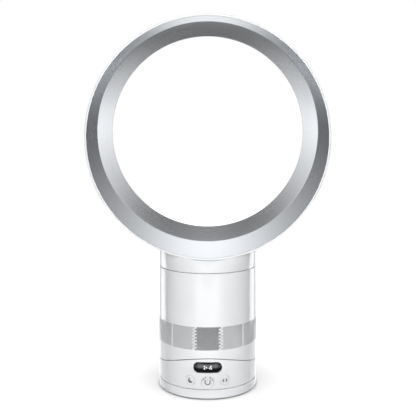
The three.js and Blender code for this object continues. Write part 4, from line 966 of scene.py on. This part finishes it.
softbox("front_softbox", (0, -2.4, 0.75), (0, 0, 0.3), 2.0, 1.7, 58)
softbox("back_softbox", (0, 2.4, 0.75), (0, 0, 0.3), 2.0, 1.7, 17)
softbox("top_softbox", (0, -0.3, 2.2), (0, 0, 0.2), 1.6, 1.2, 12)
TENT_R, TENT_SIDE, TENT_REAR = 0.37, 0.36, 0.12
tent_roof = [(TENT_R * math.sin(a * math.pi / 36), LOOP_MIDDLE - TENT_R * math.cos(a * math.pi / 36))
             for a in range(15, 58)]
arch = [(TENT_SIDE, 0.003)] + tent_roof + [(-TENT_SIDE, 0.003)]
card("tent", [[(x, y, z) for x, z in arch] for y in (-0.6, TENT_REAR)], 1.5, [
    (0.0, 0.85), (0.067, 0.36), (0.146, 0.20), (0.25, 0.10), (0.5, 0.08), (0.63, 0.13),
    (0.75, 0.23), (0.854, 0.31), (0.933, 0.49), (0.983, 0.78), (1.0, 1.0)])
HOOD_Z, SCREEN_Y = 0.205, 0.45
card("rear_hood", [[(-0.40, y, HOOD_Z), (0.40, y, HOOD_Z)] for y in (0.06, 0.28)], 1.3, [
    (0.0, 1.0), (0.017, 0.9), (0.067, 0.34), (0.146, 0.18), (0.25, 0.10), (1.0, 0.10)])
card("rear_flag", [[(-0.40, y, HOOD_Z), (0.40, y, HOOD_Z)] for y in (0.28, SCREEN_Y)], 0.1)


def disc_rows(outer, y):
    """A flat disc across the loop's axis, as a small ring of corners and a large one."""
    return [[(r * math.sin(a * math.pi / 32), y, LOOP_MIDDLE - r * math.cos(a * math.pi / 32))
             for a in range(65)] for r in (0.004, outer)]


card("rear_screen", disc_rows(0.36, SCREEN_Y), 1.35, [
    (0.0, 0.05), (0.06, 0.07), (0.146, 0.22), (0.25, 0.42), (0.37, 0.62), (0.47, 1.0), (0.53, 1.0),
    (0.63, 0.74), (0.75, 0.54), (0.854, 0.28), (0.933, 0.10), (0.983, 0.10), (1.0, 0.24)])
card("lens_flag", disc_rows(0.30, -0.72), 0.1)
for name, side in (("left_strip", -1), ("right_strip", 1)):
    foot_edge = [(side * 0.068, -0.034), (side * 0.075, 0.0)]
    start, middle, end = (side * 0.362, 0.118), (side * 0.29, 0.27), (side * 0.10, 0.43)
    card(f"{name}_near", [[(*start, z), (*middle, z)] for z in (0.001, 0.20)], 3.8)
    card(f"{name}_far", [[(*middle, z), (*end, z)] for z in (0.001, 0.20)], 1.3)
    card(f"{name}_floor", [[(*corner, 0.001) for corner in foot_edge],
                           [(*start, 0.001), (*end, 0.001)]], 1.8)
card("front_strip", [[(-0.04, -0.12, 0.001), (0.04, -0.12, 0.001)],
                     [(-1.1, -2.3, 0.001), (1.1, -2.3, 0.001)]], 2.6)
FLAG_R = 0.088
card("front_flag", [[(FLAG_R * math.sin(a * math.pi / 36), -FLAG_R * math.cos(a * math.pi / 36), z)
                     for a in range(-6, 7)] for z in (0.003, 0.040)], 0.02)

# The camera stands level, about a metre in front of the loop, and is shifted down to the table.
camera_data = bpy.data.cameras.new("camera")
camera_data.lens = 60.6
camera_data.sensor_width = 36
camera_data.shift_x = 0.0008
camera_data.shift_y = -0.180
camera = bpy.data.objects.new("camera", camera_data)
camera.location = (0, -1.073, 0.381)
camera.rotation_euler = (math.radians(90), 0, 0)
bpy.context.scene.collection.objects.link(camera)
bpy.context.scene.camera = camera
bpy.context.scene.view_settings.view_transform = "Standard"
